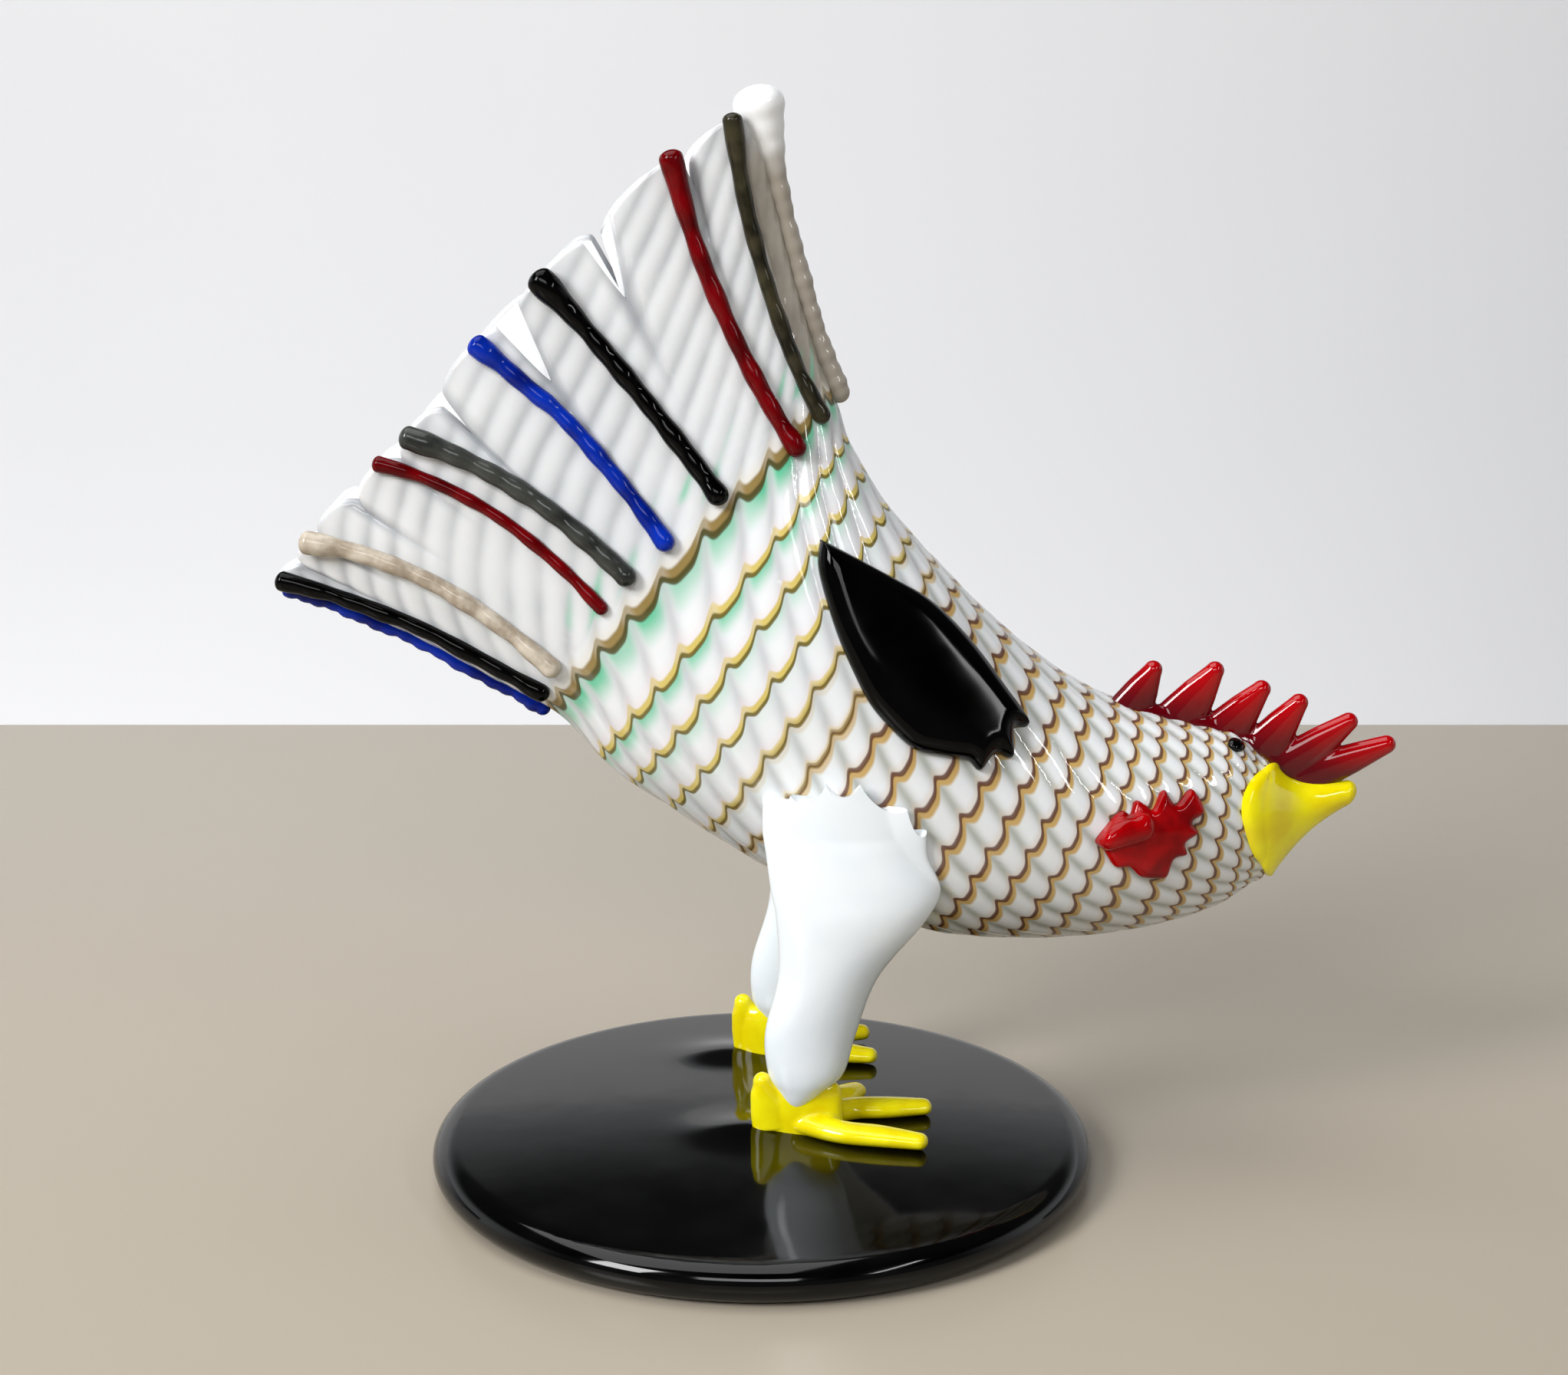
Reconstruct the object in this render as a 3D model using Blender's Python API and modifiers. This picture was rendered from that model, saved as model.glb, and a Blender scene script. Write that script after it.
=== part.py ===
"""Glass rooster vase: a hollow blown body on a black glass disc, with applied glass details.

The rooster looks along +X and stands on its disc, whose underside lies at z = 0 with its centre at
the origin. The rooster's right side faces -Y. The flattened tail fan is the vase's open mouth.
"""

import math

import bmesh
import bpy
import numpy as np

# Driving dimensions, in metres
ROOSTER_HEIGHT = 0.286
SET_BACK = 0.020
DISC_RADIUS = 0.0927
DISC_THICKNESS = 0.0115
DISC_DOME = 0.0025
DISC_RIM_ROUND = 0.0070
BODY_WALL = 0.003
RIM_ROUND = 0.0012
GAP = 0.0003
ROD_SINK = 0.0012
WING_THICKNESS = 0.0060
LEG_LAP = 0.0036
WATTLE_THICKNESS = 0.0024
WATTLE_LOBE_HEIGHT = 0.0040
EYE_THICKNESS = 0.0014
HOOD_THICKNESS = 0.0020
COMB_HALF_WIDTH = 0.0031
SPIKE_TIP_RADIUS = 0.0023
HEEL_HALF_WIDTH = 0.0032

COLLECTION_NAME = "glass_rooster_vase"
CUTTER_COLLECTION_NAME = "cutters"
RIGHT = 1
LEFT = -1
SIDES = ((RIGHT, "right"), (LEFT, "left"))

# The figure's forms are shares of the rooster's height: x from the disc's middle, z over its top.
# Each station of the body has a belly point and a back point in the middle plane, a half width,
# and how round its section is: 1 is an ellipse, and less is fuller towards the corners.
STATIONS = (
    (-0.472, 0.526, -0.006, 1.000, 0.038, 0.80),
    (-0.408, 0.501, 0.009, 0.908, 0.042, 0.80),
    (-0.338, 0.470, 0.029, 0.826, 0.047, 0.82),
    (-0.257, 0.425, 0.049, 0.757, 0.056, 0.86),
    (-0.196, 0.390, 0.072, 0.697, 0.069, 0.92),
    (-0.150, 0.340, 0.087, 0.655, 0.086, 0.96),
    (-0.090, 0.298, 0.122, 0.598, 0.106, 1.0),
    (-0.011, 0.247, 0.174, 0.539, 0.123, 1.0),
    (0.071, 0.205, 0.228, 0.485, 0.133, 1.0),
    (0.160, 0.176, 0.289, 0.436, 0.134, 1.0),
    (0.238, 0.168, 0.344, 0.406, 0.127, 1.0),
    (0.322, 0.170, 0.392, 0.392, 0.114, 1.0),
    (0.393, 0.181, 0.432, 0.382, 0.096, 1.0),
    (0.449, 0.199, 0.463, 0.374, 0.077, 1.0),
    (0.484, 0.222, 0.488, 0.353, 0.058, 1.0),
)
LAST_STATION = len(STATIONS) - 1
HEAD_POLE = (0.507, 0.284)
FAN_BULGE = 0.019
FAN_ROOT_STATION = 5.0
FAN_SOLID_STATION = 1.5
FAN_ROW_SHARES = (0.0, 0.45, 1.0)
OUTER_ROWS = (2.5, 3.6, 4.8, 6.0, 7.2, 8.4, 9.6, 10.8, 12.0, 13.1, 14.0, 14.45, 14.8)
INNER_ROWS = (3.2, 5.2, 7.2, 9.2, 11.2, 13.0, 14.3)
BEYOND_RIM_STATION = -0.2
RIM_GAP_STATION = 0.02

# Slits of the fan's rim: place along the rim from its lower to its upper corner, half width and
# depth, all as shares of the rim's length. The two faces are cut a little differently.
SLITS_RIGHT = (
    (0.040, 0.012, 0.020),
    (0.088, 0.010, 0.016),
    (0.170, 0.013, 0.022),
    (0.262, 0.012, 0.022),
    (0.372, 0.010, 0.098),
    (0.527, 0.024, 0.130),
    (0.706, 0.030, 0.122),
    (0.873, 0.012, 0.070),
    (0.964, 0.008, 0.105),
)
SLITS_LEFT = (
    (0.044, 0.012, 0.020),
    (0.095, 0.010, 0.016),
    (0.178, 0.013, 0.022),
    (0.282, 0.012, 0.030),
    (0.410, 0.010, 0.070),
    (0.585, 0.012, 0.085),
    (0.695, 0.010, 0.100),
    (0.850, 0.012, 0.062),
    (0.955, 0.009, 0.080),
)
# How far each finger of the fan ends short of the fan's own curve, from the lower corner up
FINGER_SHORTENING = (0.0, 0.004, 0.0, 0.012, 0.016, 0.0, 0.0, 0.002, 0.018, 0.026)
FINGER_ROUNDING = 0.016
DEEP_SLIT = 0.05

# Rods on each face of the fan: name, colour, radius, tip's share of extra radius, stations of
# tip and root, and angles round the body, in degrees, at tip, middle and root
FACE_RODS = (
    ("rod_lower_black", (0.010, 0.010, 0.012), 0.0022, 0.2, 0.12, 3.50, 165, 157, 153.5),
    ("rod_tan", (0.50, 0.38, 0.26), 0.0024, 0.4, 0.08, 3.38, 142, 134, 138),
    ("rod_lower_red", (0.45, 0.010, 0.015), 0.0017, 0.3, 0.15, 3.36, 115.8, 109, 111.5),
    ("rod_grey", (0.065, 0.065, 0.060), 0.0027, 0.3, 0.22, 3.33, 108.2, 101.5, 100.8),
    ("rod_blue", (0.010, 0.045, 0.40), 0.0023, 0.4, 0.08, 3.41, 91.8, 89.5, 90),
    ("rod_black", (0.006, 0.006, 0.008), 0.0026, 0.5, 0.08, 3.51, 82.5, 77.8, 74.2),
    ("rod_red", (0.40, 0.006, 0.012), 0.0024, 0.3, 0.08, 3.90, 50.8, 50, 45),
    ("rod_olive", (0.055, 0.055, 0.040), 0.0021, 0.3, 0.20, 3.85, 28.2, 30.5, 27.5),
)
EDGE_RODS = (
    ("rod_lower_edge", (0.012, 0.060, 0.36), 0.0020, 0.1, 0.25, 3.70, 180, 180, 180),
    ("rod_upper_edge", (0.42, 0.36, 0.28), 0.0027, 1.6, 0.26, 3.85, 0, 0, 0),
)
# A rod whose tip is thicker than this share ends in a bulb round the corner of the fan
BULB_SHARE = 0.9
LEFT_TIP_STEP = 0.12
ROD_POINTS = 6
ROD_BUMPS = 3
ROD_BUMP_SHARE = 0.05
ROD_TIP_LENGTH = 0.12
ROD_ROOT_EXTRA = 0.15
ROD_ROOT_LENGTH = 0.1
# How far a bar's domed end reaches, and how thick it is there, as shares of its radius
END_REACH = 0.7
END_SIZE = 0.6

# Outlines of the applied pieces, seen from the side
WING_MIDDLE = (0.145, 0.460)
WING_OUTLINE = (
    (0.062, 0.575), (0.122, 0.540), (0.158, 0.516), (0.194, 0.480), (0.226, 0.440),
    (0.250, 0.407), (0.2355, 0.404), (0.2346, 0.380), (0.218, 0.3843), (0.204, 0.370),
    (0.1916, 0.380), (0.1664, 0.3843), (0.142, 0.391), (0.118, 0.412), (0.1007, 0.4325),
    (0.087, 0.458), (0.0724, 0.490), (0.0605, 0.525), (0.0531, 0.5545), (0.0545, 0.575),
)
WATTLE_MIDDLE = (0.372, 0.302)
WATTLE_OUTLINE = (
    (0.315, 0.300), (0.331, 0.320), (0.3402, 0.3262), (0.3476, 0.3227), (0.3531, 0.3339),
    (0.362, 0.330), (0.370, 0.3255), (0.3804, 0.3409), (0.3925, 0.327), (0.408, 0.3392),
    (0.4206, 0.3189), (0.4085, 0.310), (0.4147, 0.2997), (0.402, 0.291), (0.4038, 0.2797),
    (0.391, 0.276), (0.3850, 0.2590), (0.3731, 0.2584), (0.3591, 0.2615), (0.3480, 0.272),
    (0.3336, 0.2738), (0.3231, 0.2899),
)
EYE_STATION = 12.9
EYE_ANGLE = 23
EYE_HALF_STATION = 0.28
EYE_HALF_ANGLE = 6.0
EYE_POINTS = 10
# Sizes of the rings of a patch's upper face, as shares of its outline
PATCH_RINGS = (1.0, 0.93, 0.75, 0.4)

# Leg: height over the disc, back edge, front edge, how far out its middle is, half thickness
LEG_ROWS = (
    (0.0210, 0.0330, 0.0390, 0.106, 0.004),
    (0.0290, 0.0225, 0.0460, 0.106, 0.013),
    (0.0430, 0.0140, 0.0620, 0.105, 0.020),
    (0.0600, 0.0055, 0.0800, 0.104, 0.025),
    (0.1000, 0.0030, 0.0910, 0.105, 0.027),
    (0.1600, 0.0158, 0.1120, 0.110, 0.031),
    (0.2180, 0.0140, 0.1560, 0.116, 0.033),
    (0.2500, 0.0085, 0.1700, 0.117, 0.032),
    (0.2850, 0.0040, 0.1570, 0.117, 0.030),
    (0.3050, 0.0010, 0.1550, 0.117, 0.028),
)
# Tips of the leg's scalloped upper edge: share of its width from the back, height over the disc
LEG_TIPS = ((0.0, 0.336), (0.172, 0.3485), (0.383, 0.3605), (0.595, 0.3605), (0.878, 0.336), (1.0, 0.3125))
LEG_SCALLOP_DEPTH = 0.0125
LEG_SCALLOP_POWER = 0.7

# Foot: its middle as seen from above, and the middle and tip of each toe
FOOT_MIDDLE = (0.036, 0.104)
TOES = (((0.075, 0.130), (0.152, 0.149)), ((0.085, 0.074), (0.160, 0.063)), ((0.066, 0.056), (0.094, 0.020)))
# Half width and half height of a toe at its root, twice along it and at its tip
TOE_SECTIONS = ((0.0165, 0.0120), (0.0150, 0.0095), (0.0150, 0.0070), (0.0080, 0.0045))
# Cuff of the foot round the leg's end: height over the disc, back edge, front edge, half width
CUFF_ROWS = (
    (-0.0060, -0.0020, 0.0800, 0.0160),
    (0.0200, -0.0030, 0.0790, 0.0155),
    (0.0400, 0.0000, 0.0775, 0.0140),
    (0.0475, 0.0060, 0.0730, 0.0110),
)
CUFF_POINTS = 10
TOE_SIDES = 8
# Height of a toe's middle line over the disc, as a share of its half height
TOE_RISE = 0.75
HEEL_TOP = (-0.002, 0.060)
HEEL_FOOT = (0.012, 0.004)
HEEL_HALF_LENGTH = 0.022
HEEL_OUT = 0.108
LEFT_FOOT_STEP = -0.022
LEFT_TOE_SHARE = 0.78

# Comb: root, tip and half length at the root of each spike, in the middle plane
SPIKES = (
    ((0.354, 0.384), (0.3850, 0.4440), 0.025),
    ((0.402, 0.376), (0.4461, 0.4426), 0.028),
    ((0.446, 0.365), (0.4929, 0.4233), 0.026),
    ((0.484, 0.346), (0.5296, 0.4100), 0.025),
    ((0.508, 0.332), (0.5810, 0.3890), 0.024),
    ((0.524, 0.323), (0.6205, 0.3640), 0.022),
)
COMB_RIDGE = ((0.350, 0.396), (0.402, 0.387), (0.446, 0.375), (0.482, 0.357), (0.508, 0.338))
# How far along a spike it has narrowed by what share
SPIKE_STEPS = ((0.0, 0.0), (0.35, 0.33), (0.75, 0.72), (1.0, 1.0))

# Beak: where its hood ends on the head (angle in degrees, station), its sections further on
# (place in the middle plane, half height, half width), and its tip
HOOD_EDGE = (
    (0, 14.40), (25, 14.15), (40, 13.70), (53, 13.20), (68, 12.95), (80, 13.10), (102, 13.52),
    (123, 14.05), (150, 14.30), (180, 14.40),
)
HOOD_SPAN = 0.20
HOOD_LAST_STATION = LAST_STATION + 0.3
HOOD_STATION_LENGTH = 0.010
HOOD_RINGS = ((0.0, 0.5), (0.3, 0.9), (0.65, 1.0), (1.0, 1.0))
BEAK_SECTIONS = (
    (0.5185, 0.2878, 0.0385, 0.0370),
    (0.5275, 0.2935, 0.0308, 0.0305),
    (0.5400, 0.3005, 0.0234, 0.0245),
    (0.5560, 0.3060, 0.0178, 0.0190),
    (0.5720, 0.3098, 0.0134, 0.0135),
)
BEAK_TIP = (0.5850, 0.3137)


def named_collection(name):
    """Make an empty collection in the scene and return it."""
    collection = bpy.data.collections.new(name)
    bpy.context.scene.collection.children.link(collection)
    return collection


def glass(name, colour, roughness=0.08):
    """A glossy glass material of one colour."""
    material = bpy.data.materials.new(name)
    material.use_nodes = True
    shader = material.node_tree.nodes["Principled BSDF"]
    shader.inputs["Base Color"].default_value = (*colour, 1.0)
    shader.inputs["Roughness"].default_value = roughness
    shader.inputs["Metallic"].default_value = 0.0
    return material


def foot_level():
    """Height of the disc's top under the feet."""
    return DISC_THICKNESS + DISC_DOME


def figure_place(x, z):
    """Turn shares of the rooster's height into metres in the middle plane."""
    return ROOSTER_HEIGHT * x, foot_level() + ROOSTER_HEIGHT * z


def smooth_by_stations(column, t):
    """Value of one column of STATIONS at station number t, on a smooth curve through the rows."""
    values = np.array([row[column] for row in STATIONS])
    values = np.concatenate([[2 * values[0] - values[1]], values, [2 * values[-1] - values[-2]]])
    t = np.clip(t, 0.0, LAST_STATION)
    low = np.minimum(np.floor(t).astype(int), LAST_STATION - 1)
    f = t - low
    before = values[low]
    start = values[low + 1]
    end = values[low + 2]
    after = values[low + 3]
    slope = (end - before) * f
    bend = (2 * before - 5 * start + 4 * end - after) * f ** 2
    turn = (3 * start - before - 3 * end + after) * f ** 3
    return 0.5 * (2 * start + slope + bend + turn)


def station_ends(t):
    """Belly and back points of the section at station t, in the middle plane."""
    belly = np.stack(figure_place(smooth_by_stations(0, t), smooth_by_stations(1, t)), axis=-1)
    back = np.stack(figure_place(smooth_by_stations(2, t), smooth_by_stations(3, t)), axis=-1)
    return belly, back


def body_point(t, angle, inset=0.0):
    """Point of the body's surface at station t and an angle round it.

    Angle 0 is the back, a half turn is the belly, and the first half turn is the right side.
    The inset moves the surface inwards, and a negative one moves it outwards. Stations past the
    last one close the head with a rounded end.
    """
    t, angle = np.broadcast_arrays(np.asarray(t, float), np.asarray(angle, float))
    belly, back = station_ends(t)
    half_width = ROOSTER_HEIGHT * smooth_by_stations(4, t)
    power = smooth_by_stations(5, t)
    middle = (belly + back) / 2
    half_height = np.linalg.norm(back - belly, axis=-1) / 2
    up = (back - middle) / half_height[..., None]
    end = np.clip(t - LAST_STATION, 0.0, 1.0) * math.pi / 2
    shrink = np.cos(end)
    pole = np.array(figure_place(*HEAD_POLE))
    last_belly, last_back = station_ends(np.array(float(LAST_STATION)))
    reach = np.linalg.norm(pole - (last_belly + last_back) / 2)
    middle = middle + (pole - middle) * (np.sin(end) * (1 - inset / reach))[..., None]
    cosine = np.cos(angle)
    sine = np.sin(angle)
    along = np.sign(cosine) * np.abs(cosine) ** power
    across = np.sign(sine) * np.abs(sine) ** power
    bulge = ROOSTER_HEIGHT * FAN_BULGE * (1 - along ** 2)
    bulge = bulge * np.clip(1 - t / FAN_ROOT_STATION, 0.0, 1.0)
    rise = (half_height - inset) * shrink * along
    x = middle[..., 0] + up[..., 0] * rise - up[..., 1] * bulge
    z = middle[..., 1] + up[..., 1] * rise + up[..., 0] * bulge
    y = SET_BACK - (half_width - inset) * shrink * across
    return np.stack([x, y, z], axis=-1)


def body_normal(t, angle):
    """Outward unit normal of the body's surface."""
    step = 0.01
    along = body_point(t + step, angle) - body_point(t - step, angle)
    around = body_point(t, angle + step) - body_point(t, angle - step)
    normal = np.cross(along, around)
    normal /= np.linalg.norm(normal, axis=-1, keepdims=True)
    outward = body_point(t, angle) - body_point(t, angle, inset=BODY_WALL)
    sign = np.sign(np.sum(normal * outward, axis=-1, keepdims=True))
    return normal * sign


def lifted_point(t, angle, height):
    """Point at a height over the body's surface."""
    return body_point(t, angle) + body_normal(t, angle) * np.asarray(height)[..., None]


def surface_place(x, z):
    """Station and angle on the body's right side for a place seen from the side."""
    x, z = np.broadcast_arrays(np.asarray(x, float), np.asarray(z, float))
    low = np.zeros(x.shape)
    high = np.full(x.shape, float(LAST_STATION))
    for _ in range(30):
        t = (low + high) / 2
        belly, back = station_ends(t)
        up = back - belly
        ahead = (x - belly[..., 0]) * up[..., 1] - (z - belly[..., 1]) * up[..., 0]
        low = np.where(ahead > 0, t, low)
        high = np.where(ahead > 0, high, t)
    belly, back = station_ends(t)
    up = back - belly
    length = np.sum(up * up, axis=-1)
    share = ((x - belly[..., 0]) * up[..., 0] + (z - belly[..., 1]) * up[..., 1]) / length
    along = np.clip(2 * share - 1, -0.9999, 0.9999)
    power = smooth_by_stations(5, t)
    angle = np.arccos(np.sign(along) * np.abs(along) ** (1 / power))
    return t, angle


def side_depth(x, z):
    """How far the body reaches from the middle plane at a place seen from the side."""
    t, angle = surface_place(x, z)
    return SET_BACK - body_point(t, angle)[..., 1]


def rim_angle(share, side):
    """Angle of the place on the rim at a share of its length from the lower corner, on one side."""
    power = STATIONS[0][5]
    along = min(1.0, max(-1.0, 2 * share - 1))
    angle = math.acos(math.copysign(abs(along) ** (1 / power), along))
    return angle if side == RIGHT else 2 * math.pi - angle


def rim_share(angle):
    """Place on the rim, as a share of its length from the lower corner."""
    cosine = np.cos(angle)
    along = np.sign(cosine) * np.abs(cosine) ** STATIONS[0][5]
    return (along + 1) / 2


def rim_depth(share, slits):
    """How far the rim lies back from the fan's full outline, as a share of the rim's length."""
    ends = np.array([-slits[0][0]] + [slit[0] for slit in slits] + [2 - slits[-1][0]])
    finger = np.clip(np.searchsorted(ends, share, side="right") - 1, 0, len(slits))
    low = ends[finger]
    high = ends[finger + 1]
    place = (2 * share - low - high) / (high - low)
    depth = np.array(FINGER_SHORTENING)[finger] + FINGER_ROUNDING * np.abs(place) ** 3
    for middle, half_width, slit_depth in slits:
        inside = np.clip(1 - np.abs(share - middle) / half_width, 0.0, 1.0)
        depth = np.maximum(depth, slit_depth * inside ** 0.8)
    return depth


def rim_station(angle):
    """Station at which the body's wall ends at the mouth."""
    share = rim_share(angle)
    right = rim_depth(share, SLITS_RIGHT)
    left = rim_depth(share, SLITS_LEFT)
    depth = np.where(np.sin(angle) >= 0, right, left)
    belly, back = station_ends(np.array([0.0, 1.0]))
    rim_length = np.linalg.norm(back[0] - belly[0])
    lower_step = np.linalg.norm(belly[1] - belly[0])
    upper_step = np.linalg.norm(back[1] - back[0])
    return depth * rim_length / (lower_step + (upper_step - lower_step) * share)


def body_columns():
    """Angles of the body's columns: both sides and end of each slit, and the middle of each finger."""
    columns = [0.0, math.radians(8), math.pi, math.radians(352)]
    for side, slits in ((RIGHT, SLITS_RIGHT), (LEFT, SLITS_LEFT)):
        for middle, half_width, depth in slits:
            columns.append(rim_angle(middle, side))
            if depth > DEEP_SLIT:
                columns.append(rim_angle(middle - half_width, side))
                columns.append(rim_angle(middle + half_width, side))
        for (low, _, _), (high, _, _) in zip(slits[:-1], slits[1:]):
            columns.append(rim_angle((low + high) / 2, side))
    return np.array(sorted(columns))


def mesh_object(name, vertices, faces, collection, material=None):
    """Make an object from points and faces, with its faces pointing out."""
    mesh = bpy.data.meshes.new(name)
    mesh.from_pydata([tuple(map(float, vertex)) for vertex in vertices], [], faces)
    work = bmesh.new()
    work.from_mesh(mesh)
    bmesh.ops.recalc_face_normals(work, faces=work.faces)
    work.to_mesh(mesh)
    work.free()
    mesh.shade_smooth()
    mesh.set_sharp_from_angle(angle=math.radians(40))
    if material:
        mesh.materials.append(material)
    thing = bpy.data.objects.new(name, mesh)
    collection.objects.link(thing)
    return thing


def as_cutter(thing):
    """Show an object as a wire guide that isn't rendered."""
    thing.hide_render = True
    thing.display_type = "WIRE"
    return thing


def boolean(thing, other, operation):
    """Add an exact Boolean modifier to an object."""
    modifier = thing.modifiers.new(f"{operation.lower()}_{other.name}", "BOOLEAN")
    modifier.operation = operation
    modifier.solver = "EXACT"
    modifier.object = other


def ring_faces(rings, count):
    """Faces between neighbouring rings of the same number of points."""
    faces = []
    for ring in range(rings - 1):
        low = ring * count
        high = low + count
        for place in range(count):
            following = (place + 1) % count
            faces.append((low + place, low + following, high + following))
            faces.append((low + place, high + following, high + place))
    return faces


def closed_loft(rings, start=None, end=None):
    """Points and faces of a closed solid through rings, closed at each end round a middle point."""
    count = len(rings[0])
    vertices = [point for ring in rings for point in ring]
    faces = ring_faces(len(rings), count)
    last = (len(rings) - 1) * count
    middle = len(vertices)
    vertices.append(np.mean(rings[0], axis=0) if start is None else start)
    vertices.append(np.mean(rings[-1], axis=0) if end is None else end)
    for place in range(count):
        following = (place + 1) % count
        faces.append((following, place, middle))
        faces.append((last + place, last + following, middle + 1))
    return vertices, faces


def mirrored(points, side):
    """Points of the right side, or their mirror images on the left side."""
    points = np.array(points, float)
    if side == LEFT:
        points[..., 1] = 2 * SET_BACK - points[..., 1]
    return points


def skin_rings(columns, inset, on_head):
    """Rings of one skin of the body, from the head's end to the rim."""
    rim = rim_station(columns)
    first_step = np.linalg.norm(body_point(1.0, columns) - body_point(0.0, columns), axis=-1)
    start = rim + RIM_ROUND / first_step
    rings = [body_point(station, columns, inset) for station in reversed(on_head)]
    for share in reversed(FAN_ROW_SHARES):
        rings.append(body_point(start + (FAN_SOLID_STATION - rim) * share, columns, inset))
    return rings


def build_body(collection, material):
    """The hollow body: outer skin, rim and inner skin, each closed at the head."""
    columns = body_columns()
    rings = skin_rings(columns, 0.0, OUTER_ROWS)
    rings.append(body_point(rim_station(columns), columns, inset=BODY_WALL / 2))
    rings.extend(reversed(skin_rings(columns, BODY_WALL, INNER_ROWS)))
    outer_pole = body_point(LAST_STATION + 1.0, 0.0)
    inner_pole = body_point(LAST_STATION + 1.0, 0.0, inset=BODY_WALL)
    vertices, faces = closed_loft(rings, outer_pole, inner_pole)
    return mesh_object("body", vertices, faces, collection, material)


def build_body_cutter(name, collection, last_station):
    """The body's outer form as one solid without its hollow, grown by the gap between pieces."""
    columns = body_columns()
    rings = skin_rings(columns, -GAP, OUTER_ROWS)
    rings.append(body_point(last_station, columns, inset=-GAP))
    pole = body_point(LAST_STATION + 1.0, 0.0, inset=-GAP)
    vertices, faces = closed_loft(rings, pole)
    return as_cutter(mesh_object(name, vertices, faces, collection))


def disc_profile(grow):
    """Half profile of the disc from the middle of its top, over its rim, to the middle below."""
    points = []
    top_radius = DISC_RADIUS - DISC_RIM_ROUND
    for share in (0.0, 0.35, 0.7):
        radius = top_radius * share
        points.append((radius, DISC_THICKNESS + DISC_DOME * (1 - share ** 2) + grow))
    for step in range(5):
        turn = math.pi / 2 - math.pi * step / 4
        x = top_radius + (DISC_RIM_ROUND + grow) * math.cos(turn)
        points.append((x, DISC_THICKNESS / 2 + (DISC_THICKNESS / 2 + grow) * math.sin(turn)))
    points.append((0.0, -grow))
    return points


def build_disc(name, collection, material=None, grow=0.0):
    """The disc as a turned profile."""
    points = disc_profile(grow)
    mesh = bpy.data.meshes.new(name)
    edges = [(place, place + 1) for place in range(len(points) - 1)]
    mesh.from_pydata([(x, 0.0, z) for x, z in points], edges, [])
    thing = bpy.data.objects.new(name, mesh)
    collection.objects.link(thing)
    screw = thing.modifiers.new("turn", "SCREW")
    screw.steps = 36
    screw.render_steps = 36
    screw.use_merge_vertices = True
    screw.merge_threshold = 0.00001
    screw.use_smooth_shade = True
    if material:
        mesh.materials.append(material)
    return thing


def leg_arch(share):
    """Height of the leg's scalloped upper edge over the disc, from its back to its front."""
    tips, heights = np.array(LEG_TIPS).T
    place = np.clip(np.searchsorted(tips, share, side="right") - 1, 0, len(tips) - 2)
    between = np.clip((share - tips[place]) / (tips[place + 1] - tips[place]), 0.0, 1.0)
    arch = np.interp(share, tips, heights)
    return arch - LEG_SCALLOP_DEPTH * np.sin(math.pi * between) ** LEG_SCALLOP_POWER


def leg_shares():
    """Shares of the leg's width where its points lie: the tips of the scallops and between them."""
    tips = [share for share, _ in LEG_TIPS]
    shares = [tips[0]]
    for low, high in zip(tips[:-1], tips[1:]):
        shares.extend(((low + high) / 2, high))
    return np.array(shares)


def leg_ring(row, lift, grow):
    """One ring of the right leg, back to front outside and front to back inside."""
    height, back, front, out, thick = row
    shares = leg_shares()
    inner = shares[::-1][1:-1]
    share = np.concatenate([shares, inner])
    outside = np.concatenate([np.ones(len(shares)), -np.ones(len(inner))])
    bulge = np.sqrt(np.clip(1 - (2 * share - 1) ** 2, 0.0, 1.0))
    width = ROOSTER_HEIGHT * (front - back) + 2 * grow
    x = ROOSTER_HEIGHT * back - grow + width * share
    raised = height + lift * (leg_arch(share) - height)
    z = foot_level() + ROOSTER_HEIGHT * raised
    depth = ROOSTER_HEIGHT * out + outside * bulge * (ROOSTER_HEIGHT * thick + grow)
    lap = side_depth(x, z) + (LEG_LAP + grow) * (0.35 + 0.65 * bulge ** 0.5)
    over_body = (side_depth(x, z) > BODY_WALL) & (outside > 0)
    depth = np.where(over_body, np.maximum(depth, lap), depth)
    return np.stack([x, SET_BACK - depth, z], axis=-1)


def leg_points(side, grow=0.0):
    """Points and faces of a leg, in a form grown by a gap when it cuts its foot."""
    rings = [leg_ring(row, 0.0, grow) for row in LEG_ROWS]
    rings.append(leg_ring(LEG_ROWS[-1], 0.6, grow))
    rings.append(leg_ring(LEG_ROWS[-1], 1.0, grow))
    rings = np.array(rings)
    rings[0, :, 2] -= grow
    if side == LEFT:
        height = (rings[..., 2] - foot_level()) / ROOSTER_HEIGHT
        rings[..., 0] += ROOSTER_HEIGHT * LEFT_FOOT_STEP * np.clip(1 - height / LEG_ROWS[-1][0], 0.0, 1.0)
    return closed_loft(mirrored(rings, side))


def build_leg(side, word, collection, material, body_cutter):
    """A leg whose upper end laps over the flank."""
    vertices, faces = leg_points(side)
    leg = mesh_object(f"leg_{word}", vertices, faces, collection, material)
    boolean(leg, body_cutter, "DIFFERENCE")
    return leg


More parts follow.
